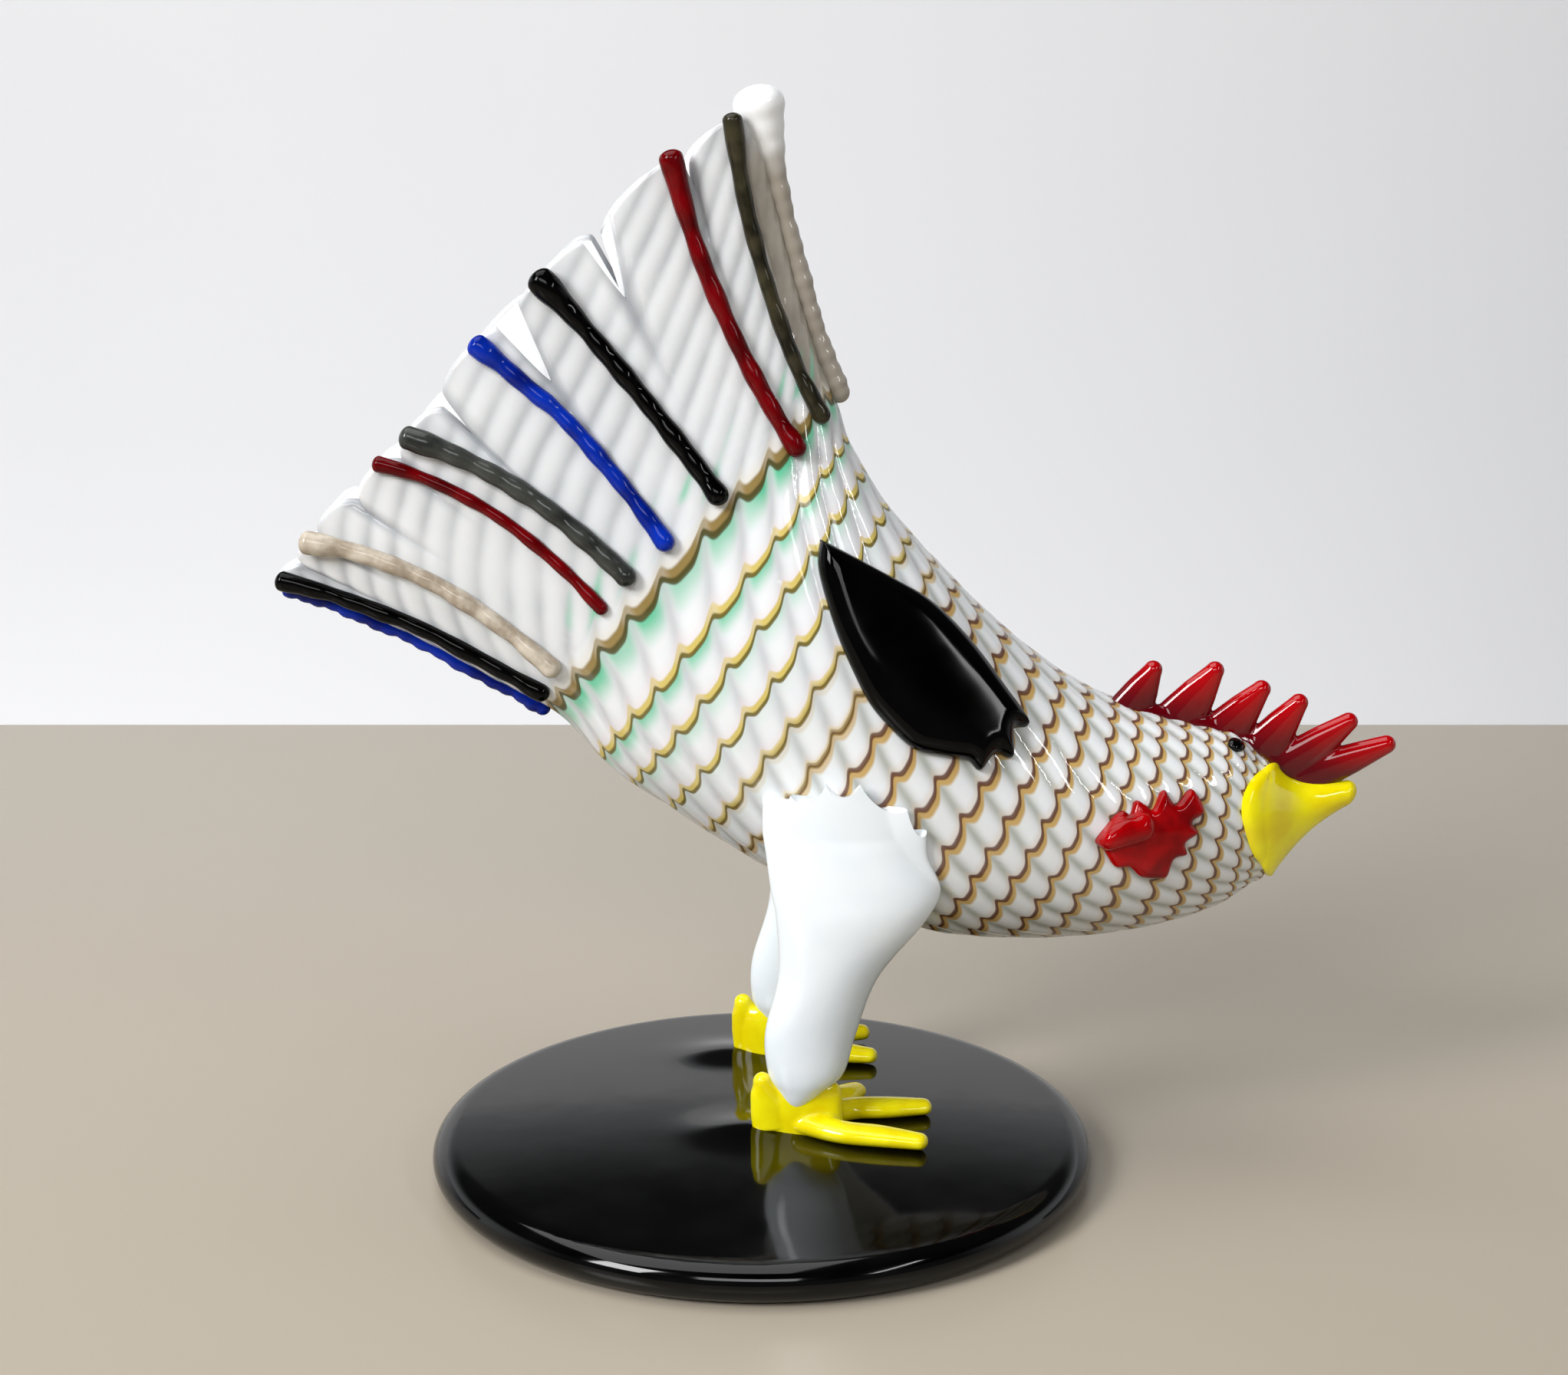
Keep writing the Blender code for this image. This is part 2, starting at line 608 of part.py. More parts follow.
def tapered_rod(path, radii, sides=6):
    """Rings of a bar along a path, with a domed end at each side.

    The radii are half widths and half heights, and a bar of one radius has both the same.
    """
    path = np.array(path, float)
    radii = np.array(radii, float)
    ahead = np.gradient(path, axis=0)
    ahead /= np.linalg.norm(ahead, axis=1, keepdims=True)
    start = path[0] - ahead[0] * radii[0, 1] * END_REACH
    end = path[-1] + ahead[-1] * radii[-1, 1] * END_REACH
    path = np.concatenate([[start], path, [end]])
    ahead = np.concatenate([ahead[:1], ahead, ahead[-1:]])
    radii = np.concatenate([[radii[0] * END_SIZE], radii, [radii[-1] * END_SIZE]])
    turn = 2 * math.pi * np.arange(sides) / sides
    upward = np.array([0.0, 0.0, 1.0])
    rings = []
    for point, direction, (width, height) in zip(path, ahead, radii):
        across = np.cross(direction, upward)
        across /= np.linalg.norm(across)
        over = np.cross(across, direction)
        ring = point + np.cos(turn)[:, None] * across * width + np.sin(turn)[:, None] * over * height
        rings.append(ring)
    return rings


def build_spike(name, root, tip, half_length, half_width, collection):
    """A flattened spike from a wide root to a round tip, for the comb and the heels."""
    root = np.array(root)
    tip = np.array(tip)
    ahead = (tip - root) / np.linalg.norm(tip - root)
    across = np.array([0.0, 1.0, 0.0])
    along = np.cross(across, ahead)
    turn = 2 * math.pi * np.arange(6) / 6
    rings = []
    reach = np.linalg.norm(tip - root) - SPIKE_TIP_RADIUS
    for share, narrowing in SPIKE_STEPS:
        long = half_length + (SPIKE_TIP_RADIUS - half_length) * narrowing
        wide = half_width + (SPIKE_TIP_RADIUS - half_width) * narrowing
        middle = root + ahead * reach * share
        ring = middle + np.cos(turn)[:, None] * along * long + np.sin(turn)[:, None] * across * wide
        rings.append(ring)
    end = root + ahead * (reach + SPIKE_TIP_RADIUS * END_REACH)
    rings.append(end + (rings[-1] - rings[-1].mean(axis=0)) * END_SIZE)
    vertices, faces = closed_loft(rings, end=tip)
    return mesh_object(name, vertices, faces, collection)


def cuff_rings(step):
    """Rings of the cuff round the leg's end, from the disc up."""
    turn = 2 * math.pi * np.arange(CUFF_POINTS) / CUFF_POINTS
    rings = []
    for height, back, front, half_width in CUFF_ROWS:
        x = (back + front) / 2 + step + (front - back) / 2 * np.cos(turn)
        out = FOOT_MIDDLE[1] + half_width * np.sin(turn)
        z = np.full(CUFF_POINTS, foot_level() + ROOSTER_HEIGHT * height)
        rings.append(np.stack([ROOSTER_HEIGHT * x, SET_BACK - ROOSTER_HEIGHT * out, z], axis=-1))
    return rings


def toe_rings(middle, tip, step, share):
    """Rings of a flat toe from under the leg over its middle to its tip."""
    root = np.array(FOOT_MIDDLE)
    middle = root + (middle - root) * share
    tip = root + (tip - root) * share
    path = []
    for place, (_, height) in zip((root, middle, (middle + tip) / 2, tip), TOE_SECTIONS):
        x = ROOSTER_HEIGHT * (place[0] + step)
        z = foot_level() + ROOSTER_HEIGHT * height * TOE_RISE
        path.append((x, SET_BACK - ROOSTER_HEIGHT * place[1], z))
    return tapered_rod(path, ROOSTER_HEIGHT * np.array(TOE_SECTIONS), TOE_SIDES)


def build_foot(side, word, pieces, cutters, material, disc_cutter):
    """A foot with a cuff, three toes and a heel spur, round the lower end of its leg."""
    step = LEFT_FOOT_STEP if side == LEFT else 0.0
    toe_share = LEFT_TOE_SHARE if side == LEFT else 1.0
    vertices, faces = closed_loft(mirrored(cuff_rings(step), side))
    foot = mesh_object(f"foot_{word}", vertices, faces, pieces, material)
    for number, (middle, tip) in enumerate(TOES):
        rings = toe_rings(np.array(middle), np.array(tip), step, toe_share)
        vertices, faces = closed_loft(mirrored(rings, side))
        toe = as_cutter(mesh_object(f"toe_{number}_{word}", vertices, faces, cutters))
        boolean(foot, toe, "UNION")
    heel_x, heel_z = figure_place(*HEEL_FOOT)
    top_x, top_z = figure_place(*HEEL_TOP)
    heel_y = SET_BACK - side * ROOSTER_HEIGHT * HEEL_OUT
    heel_root = (heel_x + ROOSTER_HEIGHT * step, heel_y, heel_z)
    heel_top = (top_x + ROOSTER_HEIGHT * step, heel_y, top_z)
    half_length = ROOSTER_HEIGHT * HEEL_HALF_LENGTH
    heel = build_spike(f"heel_{word}", heel_root, heel_top, half_length, HEEL_HALF_WIDTH, cutters)
    boolean(foot, as_cutter(heel), "UNION")
    vertices, faces = leg_points(side, GAP)
    leg_cutter = as_cutter(mesh_object(f"leg_cutter_{word}", vertices, faces, cutters))
    boolean(foot, leg_cutter, "DIFFERENCE")
    boolean(foot, disc_cutter, "DIFFERENCE")
    return foot


def patch_points(outline, middle, heights, side):
    """Closed patch on the flank: its upper face at heights over the body, its lower face inside.

    The outline is seen from the side. Heights are given for rings from the edge to the middle,
    as a function of the place and of the ring's share of the outline's size.
    """
    outline = np.array([figure_place(*place) for place in outline])
    middle = np.array(figure_place(*middle))
    rings = []
    for share in (0.55, 1.0):
        places = middle + (outline - middle) * share
        t, angle = surface_place(places[:, 0], places[:, 1])
        rings.append(lifted_point(t, angle, np.full(len(places), -BODY_WALL)))
    for share in PATCH_RINGS:
        places = middle + (outline - middle) * share
        t, angle = surface_place(places[:, 0], places[:, 1])
        rings.append(lifted_point(t, angle, heights(places, share)))
    t, angle = surface_place(middle[0], middle[1])
    top = lifted_point(t, angle, heights(middle[None, :], 0.0)[0])
    bottom = lifted_point(t, angle, np.array(-BODY_WALL))
    vertices, faces = closed_loft(rings, bottom, top)
    return mirrored(vertices, side), faces


def wing_height(places, share):
    """Height of the wing's upper face: a lens with a ridge."""
    full = np.full(len(places), WING_THICKNESS)
    return GAP + full * (0.25 + 0.75 * math.sqrt(1 - share ** 2))


def wattle_height(places, share):
    """Height of the wattle's upper face: a thin patch with a long raised lobe."""
    lobe_middle = np.array(figure_place(0.341, 0.309))
    away = (places - lobe_middle) / ROOSTER_HEIGHT
    along = (away[:, 0] * 0.97 + away[:, 1] * 0.22) / 0.030
    across = (away[:, 1] * 0.97 - away[:, 0] * 0.22) / 0.014
    lobe = WATTLE_LOBE_HEIGHT * np.exp(-along ** 2 - across ** 2)
    return GAP + WATTLE_THICKNESS * (0.45 + 0.55 * math.sqrt(1 - share ** 2)) + lobe


def eye_height(places, share):
    """Height of the eye's dome."""
    return np.full(len(places), GAP + EYE_THICKNESS * (0.3 + 0.7 * math.sqrt(1 - share ** 2)))


def eye_place(turn, size=1.0):
    """Place on the eye's outline, or inside it at a smaller size, as seen from the side."""
    station = EYE_STATION + EYE_HALF_STATION * size * math.cos(turn)
    angle = math.radians(EYE_ANGLE + EYE_HALF_ANGLE * size * math.sin(turn))
    point = body_point(station, angle)
    return point[0] / ROOSTER_HEIGHT, (point[2] - foot_level()) / ROOSTER_HEIGHT


def eye_outline():
    """Round outline of the eye beside the comb."""
    return [eye_place(2 * math.pi * place / EYE_POINTS) for place in range(EYE_POINTS)]


def build_patch(name, side, patch, collection, material, body_cutter):
    """A patch of glass fused on the flank."""
    outline, middle, heights = patch
    vertices, faces = patch_points(outline, middle, heights, side)
    thing = mesh_object(name, vertices, faces, collection, material)
    boolean(thing, body_cutter, "DIFFERENCE")
    return thing


def rod_path(rod, side):
    """Middle line and radii of a rod of one face of the fan, laid out on the right face."""
    _, _, radius, tip_extra, tip, root, *angles = rod
    if side == LEFT:
        tip += LEFT_TIP_STEP
    path = []
    radii = []
    for place in range(ROD_POINTS):
        share = place / (ROD_POINTS - 1)
        station = tip + (root - tip) * share
        weights = ((1 - share) * (1 - 2 * share), 4 * share * (1 - share), share * (2 * share - 1))
        angle = math.radians(sum(weight * angle for weight, angle in zip(weights, angles)))
        bumps = ROD_BUMP_SHARE * math.sin(2 * math.pi * ROD_BUMPS * share)
        at_tip = math.exp(-(share / ROD_TIP_LENGTH) ** 2)
        at_root = math.exp(-((1 - share) / ROD_ROOT_LENGTH) ** 2)
        size = radius * (1 + bumps + tip_extra * at_tip + ROD_ROOT_EXTRA * at_root)
        rise = size - ROD_SINK
        if tip_extra > BULB_SHARE:
            rise = (radius - ROD_SINK) * (1 - at_tip)
        path.append(lifted_point(np.array(station), np.array(angle), np.array(rise)))
        radii.append(size)
    return path, radii


def build_rod(name, rod, side, collection, body_cutter):
    """A trailed glass rod as a tube, flattened where it lies on the fan."""
    path, radii = rod_path(rod, side)
    path = mirrored(path, side)
    curve = bpy.data.curves.new(name, "CURVE")
    curve.dimensions = "3D"
    curve.bevel_depth = 1.0
    curve.bevel_resolution = 1
    curve.use_fill_caps = True
    spline = curve.splines.new("POLY")
    ahead = path[1] - path[0]
    behind = path[-1] - path[-2]
    start = path[0] - ahead / np.linalg.norm(ahead) * radii[0] * END_REACH
    end = path[-1] + behind / np.linalg.norm(behind) * radii[-1] * END_REACH
    points = [start, *path, end]
    widths = [radii[0] * END_SIZE, *radii, radii[-1] * END_SIZE]
    spline.points.add(len(points) - 1)
    for point, place, width in zip(spline.points, points, widths):
        point.co = (*place, 1.0)
        point.radius = width
    guide = bpy.data.objects.new(f"{name}_guide", curve)
    collection.objects.link(guide)
    depsgraph = bpy.context.evaluated_depsgraph_get()
    mesh = bpy.data.meshes.new_from_object(guide.evaluated_get(depsgraph))
    mesh.name = name
    work = bmesh.new()
    work.from_mesh(mesh)
    bmesh.ops.remove_doubles(work, verts=work.verts, dist=0.00001)
    bmesh.ops.recalc_face_normals(work, faces=work.faces)
    work.to_mesh(mesh)
    work.free()
    mesh.shade_smooth()
    mesh.materials.clear()
    mesh.materials.append(glass(name, rod[1]))
    thing = bpy.data.objects.new(name, mesh)
    thing.matrix_world = guide.matrix_world
    collection.objects.link(thing)
    bpy.data.objects.remove(guide)
    boolean(thing, body_cutter, "DIFFERENCE")
    return thing


def hood_station(angle):
    """Station where the beak's hood begins, round the head."""
    degrees = np.degrees(angle) % 360
    angles, stations = np.array(HOOD_EDGE).T
    return np.interp(np.minimum(degrees, 360 - degrees), angles, stations)


def beak_rings(grow):
    """Rings of the beak: one inside the head, those of the hood and those towards the tip."""
    angles = 2 * math.pi * np.arange(16) / 16
    start = hood_station(angles) - grow / HOOD_STATION_LENGTH
    rings = [body_point(start, angles, inset=BODY_WALL)]
    for share, thickness in HOOD_RINGS:
        last = np.maximum(HOOD_LAST_STATION, start + HOOD_SPAN)
        station = start + (last - start) * share
        lift = HOOD_THICKNESS * thickness + grow
        rings.append(lifted_point(station, angles, np.full(len(angles), lift)))
    for x, z, half_height, half_width in BEAK_SECTIONS:
        middle_x, middle_z = figure_place(x, z)
        up = (ROOSTER_HEIGHT * half_height + grow) * np.cos(angles)
        out = (ROOSTER_HEIGHT * half_width + grow) * np.sin(angles)
        rings.append(np.stack([np.full(len(angles), middle_x), SET_BACK - out, middle_z + up], axis=-1))
    tip_x, tip_z = figure_place(*BEAK_TIP)
    return rings, np.array([tip_x + grow, SET_BACK, tip_z])


def build_beak(name, collection, material=None, grow=0.0):
    """The beak: a hood over the end of the head, drawn out to a blunt tip."""
    rings, tip = beak_rings(grow)
    vertices, faces = closed_loft(rings, end=tip)
    return mesh_object(name, vertices, faces, collection, material)


def build_comb(collection, cutters, material, body_cutter, beak_cutter):
    """The comb: six spikes fused in a row on the head's middle line."""
    comb = None
    ridge_radii = np.full((len(COMB_RIDGE), 2), COMB_HALF_WIDTH)
    ridge_path = [np.insert(figure_place(*place), 1, SET_BACK) for place in COMB_RIDGE]
    vertices, faces = closed_loft(tapered_rod(ridge_path, ridge_radii))
    ridge = as_cutter(mesh_object("comb_ridge", vertices, faces, cutters))
    for number, (root, tip, half_length) in enumerate(SPIKES):
        root_x, root_z = figure_place(*root)
        tip_x, tip_z = figure_place(*tip)
        root_point = (root_x, SET_BACK, root_z)
        tip_point = (tip_x, SET_BACK, tip_z)
        name = "comb" if comb is None else f"spike_{number}"
        home = collection if comb is None else cutters
        reach = ROOSTER_HEIGHT * half_length
        spike = build_spike(name, root_point, tip_point, reach, COMB_HALF_WIDTH, home)
        if comb is None:
            comb = spike
            comb.data.materials.append(material)
            boolean(comb, ridge, "UNION")
        else:
            boolean(comb, as_cutter(spike), "UNION")
    boolean(comb, body_cutter, "DIFFERENCE")
    boolean(comb, beak_cutter, "DIFFERENCE")
    return comb


def build_vase():
    """Build every piece of the vase."""
    for thing in list(bpy.data.objects):
        bpy.data.objects.remove(thing)
    pieces = named_collection(COLLECTION_NAME)
    cutters = named_collection(CUTTER_COLLECTION_NAME)
    white = glass("milk_glass", (0.80, 0.82, 0.80))
    black = glass("black_glass", (0.006, 0.006, 0.007))
    leg_white = glass("opal_white_glass", (0.80, 0.81, 0.82))
    yellow = glass("yellow_glass", (0.78, 0.66, 0.01))
    red = glass("red_glass", (0.36, 0.008, 0.012))
    build_body(pieces, white)
    build_disc("base_disc", pieces, black)
    body_cutter = build_body_cutter("body_cutter", cutters, BEYOND_RIM_STATION)
    rim = rim_station(body_columns())
    rim_cutter = build_body_cutter("rim_cutter", cutters, rim - RIM_GAP_STATION)
    disc_cutter = as_cutter(build_disc("disc_cutter", cutters, grow=GAP))
    wing = (WING_OUTLINE, WING_MIDDLE, wing_height)
    wattle = (WATTLE_OUTLINE, WATTLE_MIDDLE, wattle_height)
    eye = (eye_outline(), eye_place(0.0, 0.0), eye_height)
    for side, word in SIDES:
        build_leg(side, word, pieces, leg_white, body_cutter)
        build_foot(side, word, pieces, cutters, yellow, disc_cutter)
        build_patch(f"wing_{word}", side, wing, pieces, black, body_cutter)
        build_patch(f"wattle_{word}", side, wattle, pieces, red, body_cutter)
        build_patch(f"eye_{word}", side, eye, pieces, black, body_cutter)
        for rod in FACE_RODS:
            build_rod(f"{rod[0]}_{word}", rod, side, pieces, body_cutter)
    for rod in EDGE_RODS:
        build_rod(rod[0], rod, RIGHT, pieces, rim_cutter if rod[3] > BULB_SHARE else body_cutter)
    beak = build_beak("beak", pieces, yellow)
    boolean(beak, body_cutter, "DIFFERENCE")
    beak_cutter = as_cutter(build_beak("beak_cutter", cutters, grow=GAP))
    build_comb(pieces, cutters, red, body_cutter, beak_cutter)


build_vase()
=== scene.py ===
"""Looks of the glass rooster vase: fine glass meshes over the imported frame, light and camera."""

import math

import bmesh
import bpy
import numpy as np
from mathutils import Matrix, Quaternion, Vector


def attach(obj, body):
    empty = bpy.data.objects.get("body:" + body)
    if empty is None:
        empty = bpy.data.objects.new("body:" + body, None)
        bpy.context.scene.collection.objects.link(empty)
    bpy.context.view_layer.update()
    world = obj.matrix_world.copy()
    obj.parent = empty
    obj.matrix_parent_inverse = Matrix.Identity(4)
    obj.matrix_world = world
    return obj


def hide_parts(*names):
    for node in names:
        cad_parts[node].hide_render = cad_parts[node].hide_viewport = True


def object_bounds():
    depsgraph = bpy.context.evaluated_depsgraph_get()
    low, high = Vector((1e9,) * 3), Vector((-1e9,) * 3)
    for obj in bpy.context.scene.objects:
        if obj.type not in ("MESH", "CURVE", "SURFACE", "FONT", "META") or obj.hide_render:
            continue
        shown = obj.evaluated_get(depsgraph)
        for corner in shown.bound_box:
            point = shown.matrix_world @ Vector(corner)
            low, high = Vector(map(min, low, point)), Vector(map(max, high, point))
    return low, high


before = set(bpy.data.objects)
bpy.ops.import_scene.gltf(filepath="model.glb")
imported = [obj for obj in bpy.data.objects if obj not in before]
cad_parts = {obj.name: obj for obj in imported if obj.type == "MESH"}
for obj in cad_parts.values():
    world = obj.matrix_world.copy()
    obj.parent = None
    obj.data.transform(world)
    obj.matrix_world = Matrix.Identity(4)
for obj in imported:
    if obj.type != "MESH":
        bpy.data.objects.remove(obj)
cad_box = [list(corner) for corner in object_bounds()]

# Sizes in metres. The rounding of edges, tips and lobes is the scene's own, and the rest is
# as in the part's source. Places are shares of the rooster's height, seen from the side.
ROOSTER_HEIGHT = 0.286
SET_BACK = 0.020
DISC_RADIUS = 0.0927
DISC_THICKNESS = 0.0115
DISC_DOME = 0.0025
DISC_RIM_ROUND = 0.0070
BODY_WALL = 0.003
ROD_SINK = 0.0012
WING_THICKNESS = 0.0060
WING_ROUND = 0.0050
PATCH_SINK = 0.0012
LEG_LAP = 0.0036
WATTLE_THICKNESS = 0.0024
WATTLE_ROUND = 0.0022
WATTLE_LOBE_HEIGHT = 0.0036
LOBE_START = (0.3255, 0.3045)
LOBE_END = (0.3560, 0.3105)
LOBE_RADIUS = 0.0036
EYE_THICKNESS = 0.0014
HOOD_THICKNESS = 0.0020
COMB_HALF_WIDTH = 0.0031
SPIKE_TIP_RADIUS = 0.0027
HEEL_HALF_WIDTH = 0.0032
RIGHT = 1
LEFT = -1
SIDES = ((RIGHT, "right"), (LEFT, "left"))

# Belly point, back point, half width and roundness of the body at each station, as shares
# of the rooster's height
STATIONS = (
    (-0.472, 0.526, -0.006, 1.000, 0.038, 0.80),
    (-0.408, 0.501, 0.009, 0.908, 0.042, 0.80),
    (-0.338, 0.470, 0.029, 0.826, 0.047, 0.82),
    (-0.257, 0.425, 0.049, 0.757, 0.056, 0.86),
    (-0.196, 0.390, 0.072, 0.697, 0.069, 0.92),
    (-0.150, 0.340, 0.087, 0.655, 0.086, 0.96),
    (-0.090, 0.298, 0.122, 0.598, 0.106, 1.0),
    (-0.011, 0.247, 0.174, 0.539, 0.123, 1.0),
    (0.071, 0.205, 0.228, 0.485, 0.133, 1.0),
    (0.160, 0.176, 0.289, 0.436, 0.134, 1.0),
    (0.238, 0.168, 0.344, 0.406, 0.127, 1.0),
    (0.322, 0.170, 0.392, 0.392, 0.114, 1.0),
    (0.393, 0.181, 0.432, 0.382, 0.096, 1.0),
    (0.449, 0.199, 0.463, 0.374, 0.077, 1.0),
    (0.484, 0.222, 0.488, 0.353, 0.058, 1.0),
)
LAST_STATION = len(STATIONS) - 1
HEAD_POLE = (0.507, 0.284)
FAN_BULGE = 0.019
FAN_ROOT_STATION = 5.0
# Slits of the fan on each face: place on the rim, half width and depth, as shares of the rim
SLITS_RIGHT = (
    (0.040, 0.012, 0.020),
    (0.088, 0.010, 0.016),
    (0.170, 0.013, 0.022),
    (0.262, 0.012, 0.022),
    (0.372, 0.010, 0.098),
    (0.527, 0.024, 0.130),
    (0.706, 0.030, 0.122),
    (0.873, 0.012, 0.070),
    (0.964, 0.008, 0.105),
)
SLITS_LEFT = (
    (0.044, 0.012, 0.020),
    (0.095, 0.010, 0.016),
    (0.178, 0.013, 0.022),
    (0.282, 0.012, 0.030),
    (0.410, 0.010, 0.070),
    (0.585, 0.012, 0.085),
    (0.695, 0.010, 0.100),
    (0.850, 0.012, 0.062),
    (0.955, 0.009, 0.080),
)
FINGER_SHORTENING = (0.0, 0.004, 0.0, 0.012, 0.016, 0.0, 0.0, 0.002, 0.018, 0.026)
FINGER_ROUNDING = 0.026

# Threads of the body: the station where each one's cusps lie, and the ribs' turn in degrees
THREAD_STATIONS = (
    2.95, 3.72, 4.73, 5.34, 5.92, 6.37, 6.80, 7.18, 7.60, 8.05, 8.52, 8.95, 9.42, 9.92,
    10.37, 10.84, 11.40, 11.95, 12.50, 13.10, 13.60, 14.10, 14.55, 15.0,
)
RIB_TURNS = (
    (0.0, -118.0), (3.40, -4.0), (3.65, 2.3), (4.70, 11.5), (5.32, 17.0), (5.92, 24.0),
    (6.37, 30.8), (6.80, 37.3), (7.17, 43.4), (8.05, 55.6), (8.50, 62.8), (9.0, 71.0), (15.0, 191.0),
)
RIB_COUNT = 27
RIB_HEIGHT = 0.0007
PILLOW_DEPTH = 0.0011
PILLOW_STATIONS = 1.4
# Where the fan's rows of points end, and the thread number that marks the inner skin
JOIN_STATION = 3.0
INNER_MARK = -9.0

# Rods: name, glass, radius, extra size and place of the tip, place of the root, and their
# angles at the tip, in the middle and at the root
FACE_RODS = (
    ("rod_lower_black", "black", 0.0022, 0.2, 0.12, 3.50, 165, 157, 153.5),
    ("rod_tan", "tan", 0.0024, 0.4, 0.08, 3.38, 142, 134, 138),
    ("rod_lower_red", "red", 0.0017, 0.3, 0.15, 3.36, 115.8, 109, 111.5),
    ("rod_grey", "grey", 0.0027, 0.3, 0.22, 3.33, 108.2, 101.5, 100.8),
    ("rod_blue", "blue", 0.0023, 0.4, 0.08, 3.41, 91.8, 89.5, 90),
    ("rod_black", "black", 0.0026, 0.5, 0.08, 3.51, 82.5, 77.8, 74.2),
    ("rod_red", "red", 0.0024, 0.3, 0.08, 3.90, 50.8, 50, 45),
    ("rod_olive", "olive", 0.0021, 0.3, 0.20, 3.85, 28.2, 30.5, 27.5),
)
EDGE_RODS = (
    ("rod_lower_edge", "blue", 0.0020, 0.1, 0.25, 3.70, 180, 180, 180),
    ("rod_upper_edge", "corner", 0.0027, 1.6, 0.26, 3.85, 0, 0, 0),
)
LEFT_TIP_STEP = 0.12
BULB_SHARE = 0.9
ROD_TIP_LENGTH = 0.12
ROD_ROOT_EXTRA = 0.15
ROD_ROOT_LENGTH = 0.1
END_REACH = 0.7
# Soft waves along a rod: how many, and how far each is shifted; then the beads of an edge rod
ROD_WAVES = ((3, 1), (7.3, 2))
ROD_WAVE_SHARE = 0.05
BEAD_COUNT = 17
EDGE_BEADS = 0.05
CORNER_WHITE_HEIGHT = 0.287
CORNER_TAN_HEIGHT = 0.272

WING_MIDDLE = (0.145, 0.460)
WING_OUTLINE = (
    (0.062, 0.575), (0.122, 0.540), (0.158, 0.516), (0.194, 0.480), (0.226, 0.440),
    (0.250, 0.407), (0.2355, 0.404), (0.2346, 0.380), (0.218, 0.3843), (0.204, 0.370),
    (0.1916, 0.380), (0.1664, 0.3843), (0.142, 0.391), (0.118, 0.412), (0.1007, 0.4325),
    (0.087, 0.458), (0.0724, 0.490), (0.0605, 0.525), (0.0531, 0.5545), (0.0545, 0.575),
)
WATTLE_MIDDLE = (0.372, 0.302)
WATTLE_OUTLINE = (
    (0.315, 0.300), (0.331, 0.320), (0.3402, 0.3262), (0.3476, 0.3227), (0.3531, 0.3339),
    (0.362, 0.330), (0.370, 0.3255), (0.3804, 0.3409), (0.3925, 0.327), (0.408, 0.3392),
    (0.4206, 0.3189), (0.4085, 0.310), (0.4147, 0.2997), (0.402, 0.291), (0.4038, 0.2797),
    (0.391, 0.276), (0.3850, 0.2590), (0.3731, 0.2584), (0.3591, 0.2615), (0.3480, 0.272),
    (0.3336, 0.2738), (0.3231, 0.2899),
)
EYE_STATION = 12.9
EYE_ANGLE = 23
EYE_HALF_STATION = 0.28
EYE_HALF_ANGLE = 6.0

LEG_ROWS = (
    (0.0210, 0.0330, 0.0390, 0.106, 0.004),
    (0.0290, 0.0225, 0.0460, 0.106, 0.013),
    (0.0430, 0.0140, 0.0620, 0.105, 0.020),
    (0.0600, 0.0055, 0.0800, 0.104, 0.025),
    (0.1000, 0.0030, 0.0910, 0.105, 0.027),
    (0.1600, 0.0158, 0.1120, 0.110, 0.031),
    (0.2180, 0.0140, 0.1560, 0.116, 0.033),
    (0.2500, 0.0085, 0.1700, 0.117, 0.032),
    (0.2850, 0.0040, 0.1570, 0.117, 0.030),
    (0.3050, 0.0010, 0.1550, 0.117, 0.028),
)
# Tips of the leg's scalloped upper edge: share of its width from the back, height over the disc
LEG_TIPS = ((0.0, 0.336), (0.172, 0.3485), (0.383, 0.3605), (0.595, 0.3605), (0.878, 0.336), (1.0, 0.3125))
LEG_SCALLOP_DEPTH = 0.0125
LEG_SCALLOP_POWER = 0.7
LEG_ON_FLANK = 0.29

# Foot: its middle as seen from above, and the middle and tip of each toe
FOOT_MIDDLE = (0.036, 0.104)
TOES = (
    ((0.075, 0.130), (0.152, 0.149)),
    ((0.085, 0.074), (0.160, 0.063)),
    ((0.066, 0.056), (0.094, 0.020)),
)
# Half width and half height of a toe at its root, twice along it and at its tip
TOE_SECTIONS = ((0.0165, 0.0125), (0.0150, 0.0105), (0.0155, 0.0098), (0.0115, 0.0078))
# Cuff of the foot round the leg's end: height over the disc, back edge, front edge, half width
CUFF_ROWS = (
    (-0.0060, -0.0020, 0.0800, 0.0160),
    (0.0200, -0.0030, 0.0790, 0.0155),
    (0.0400, 0.0000, 0.0775, 0.0140),
    (0.0475, 0.0060, 0.0730, 0.0110),
)
# Height of a toe's middle line over the disc, as a share of its half height
TOE_RISE = 0.75
FOOT_SINK = 0.0020
HEEL_TOP = (-0.002, 0.060)
HEEL_FOOT = (0.012, 0.004)
HEEL_HALF_LENGTH = 0.022
HEEL_OUT = 0.108
LEFT_FOOT_STEP = -0.022
LEFT_TOE_SHARE = 0.78
FOOT_VOXEL = 0.0005
FOOT_ROUNDS = 4
COMB_VOXEL = 0.00045
COMB_ROUNDS = 3
# Rise of the disc beside each heel: its height, its place behind the leg, half length, half width
MOUND_RISE = 0.0016
MOUND_BACK = 0.004
MOUND_HALF_LENGTH = 0.012
MOUND_HALF_WIDTH = 0.009

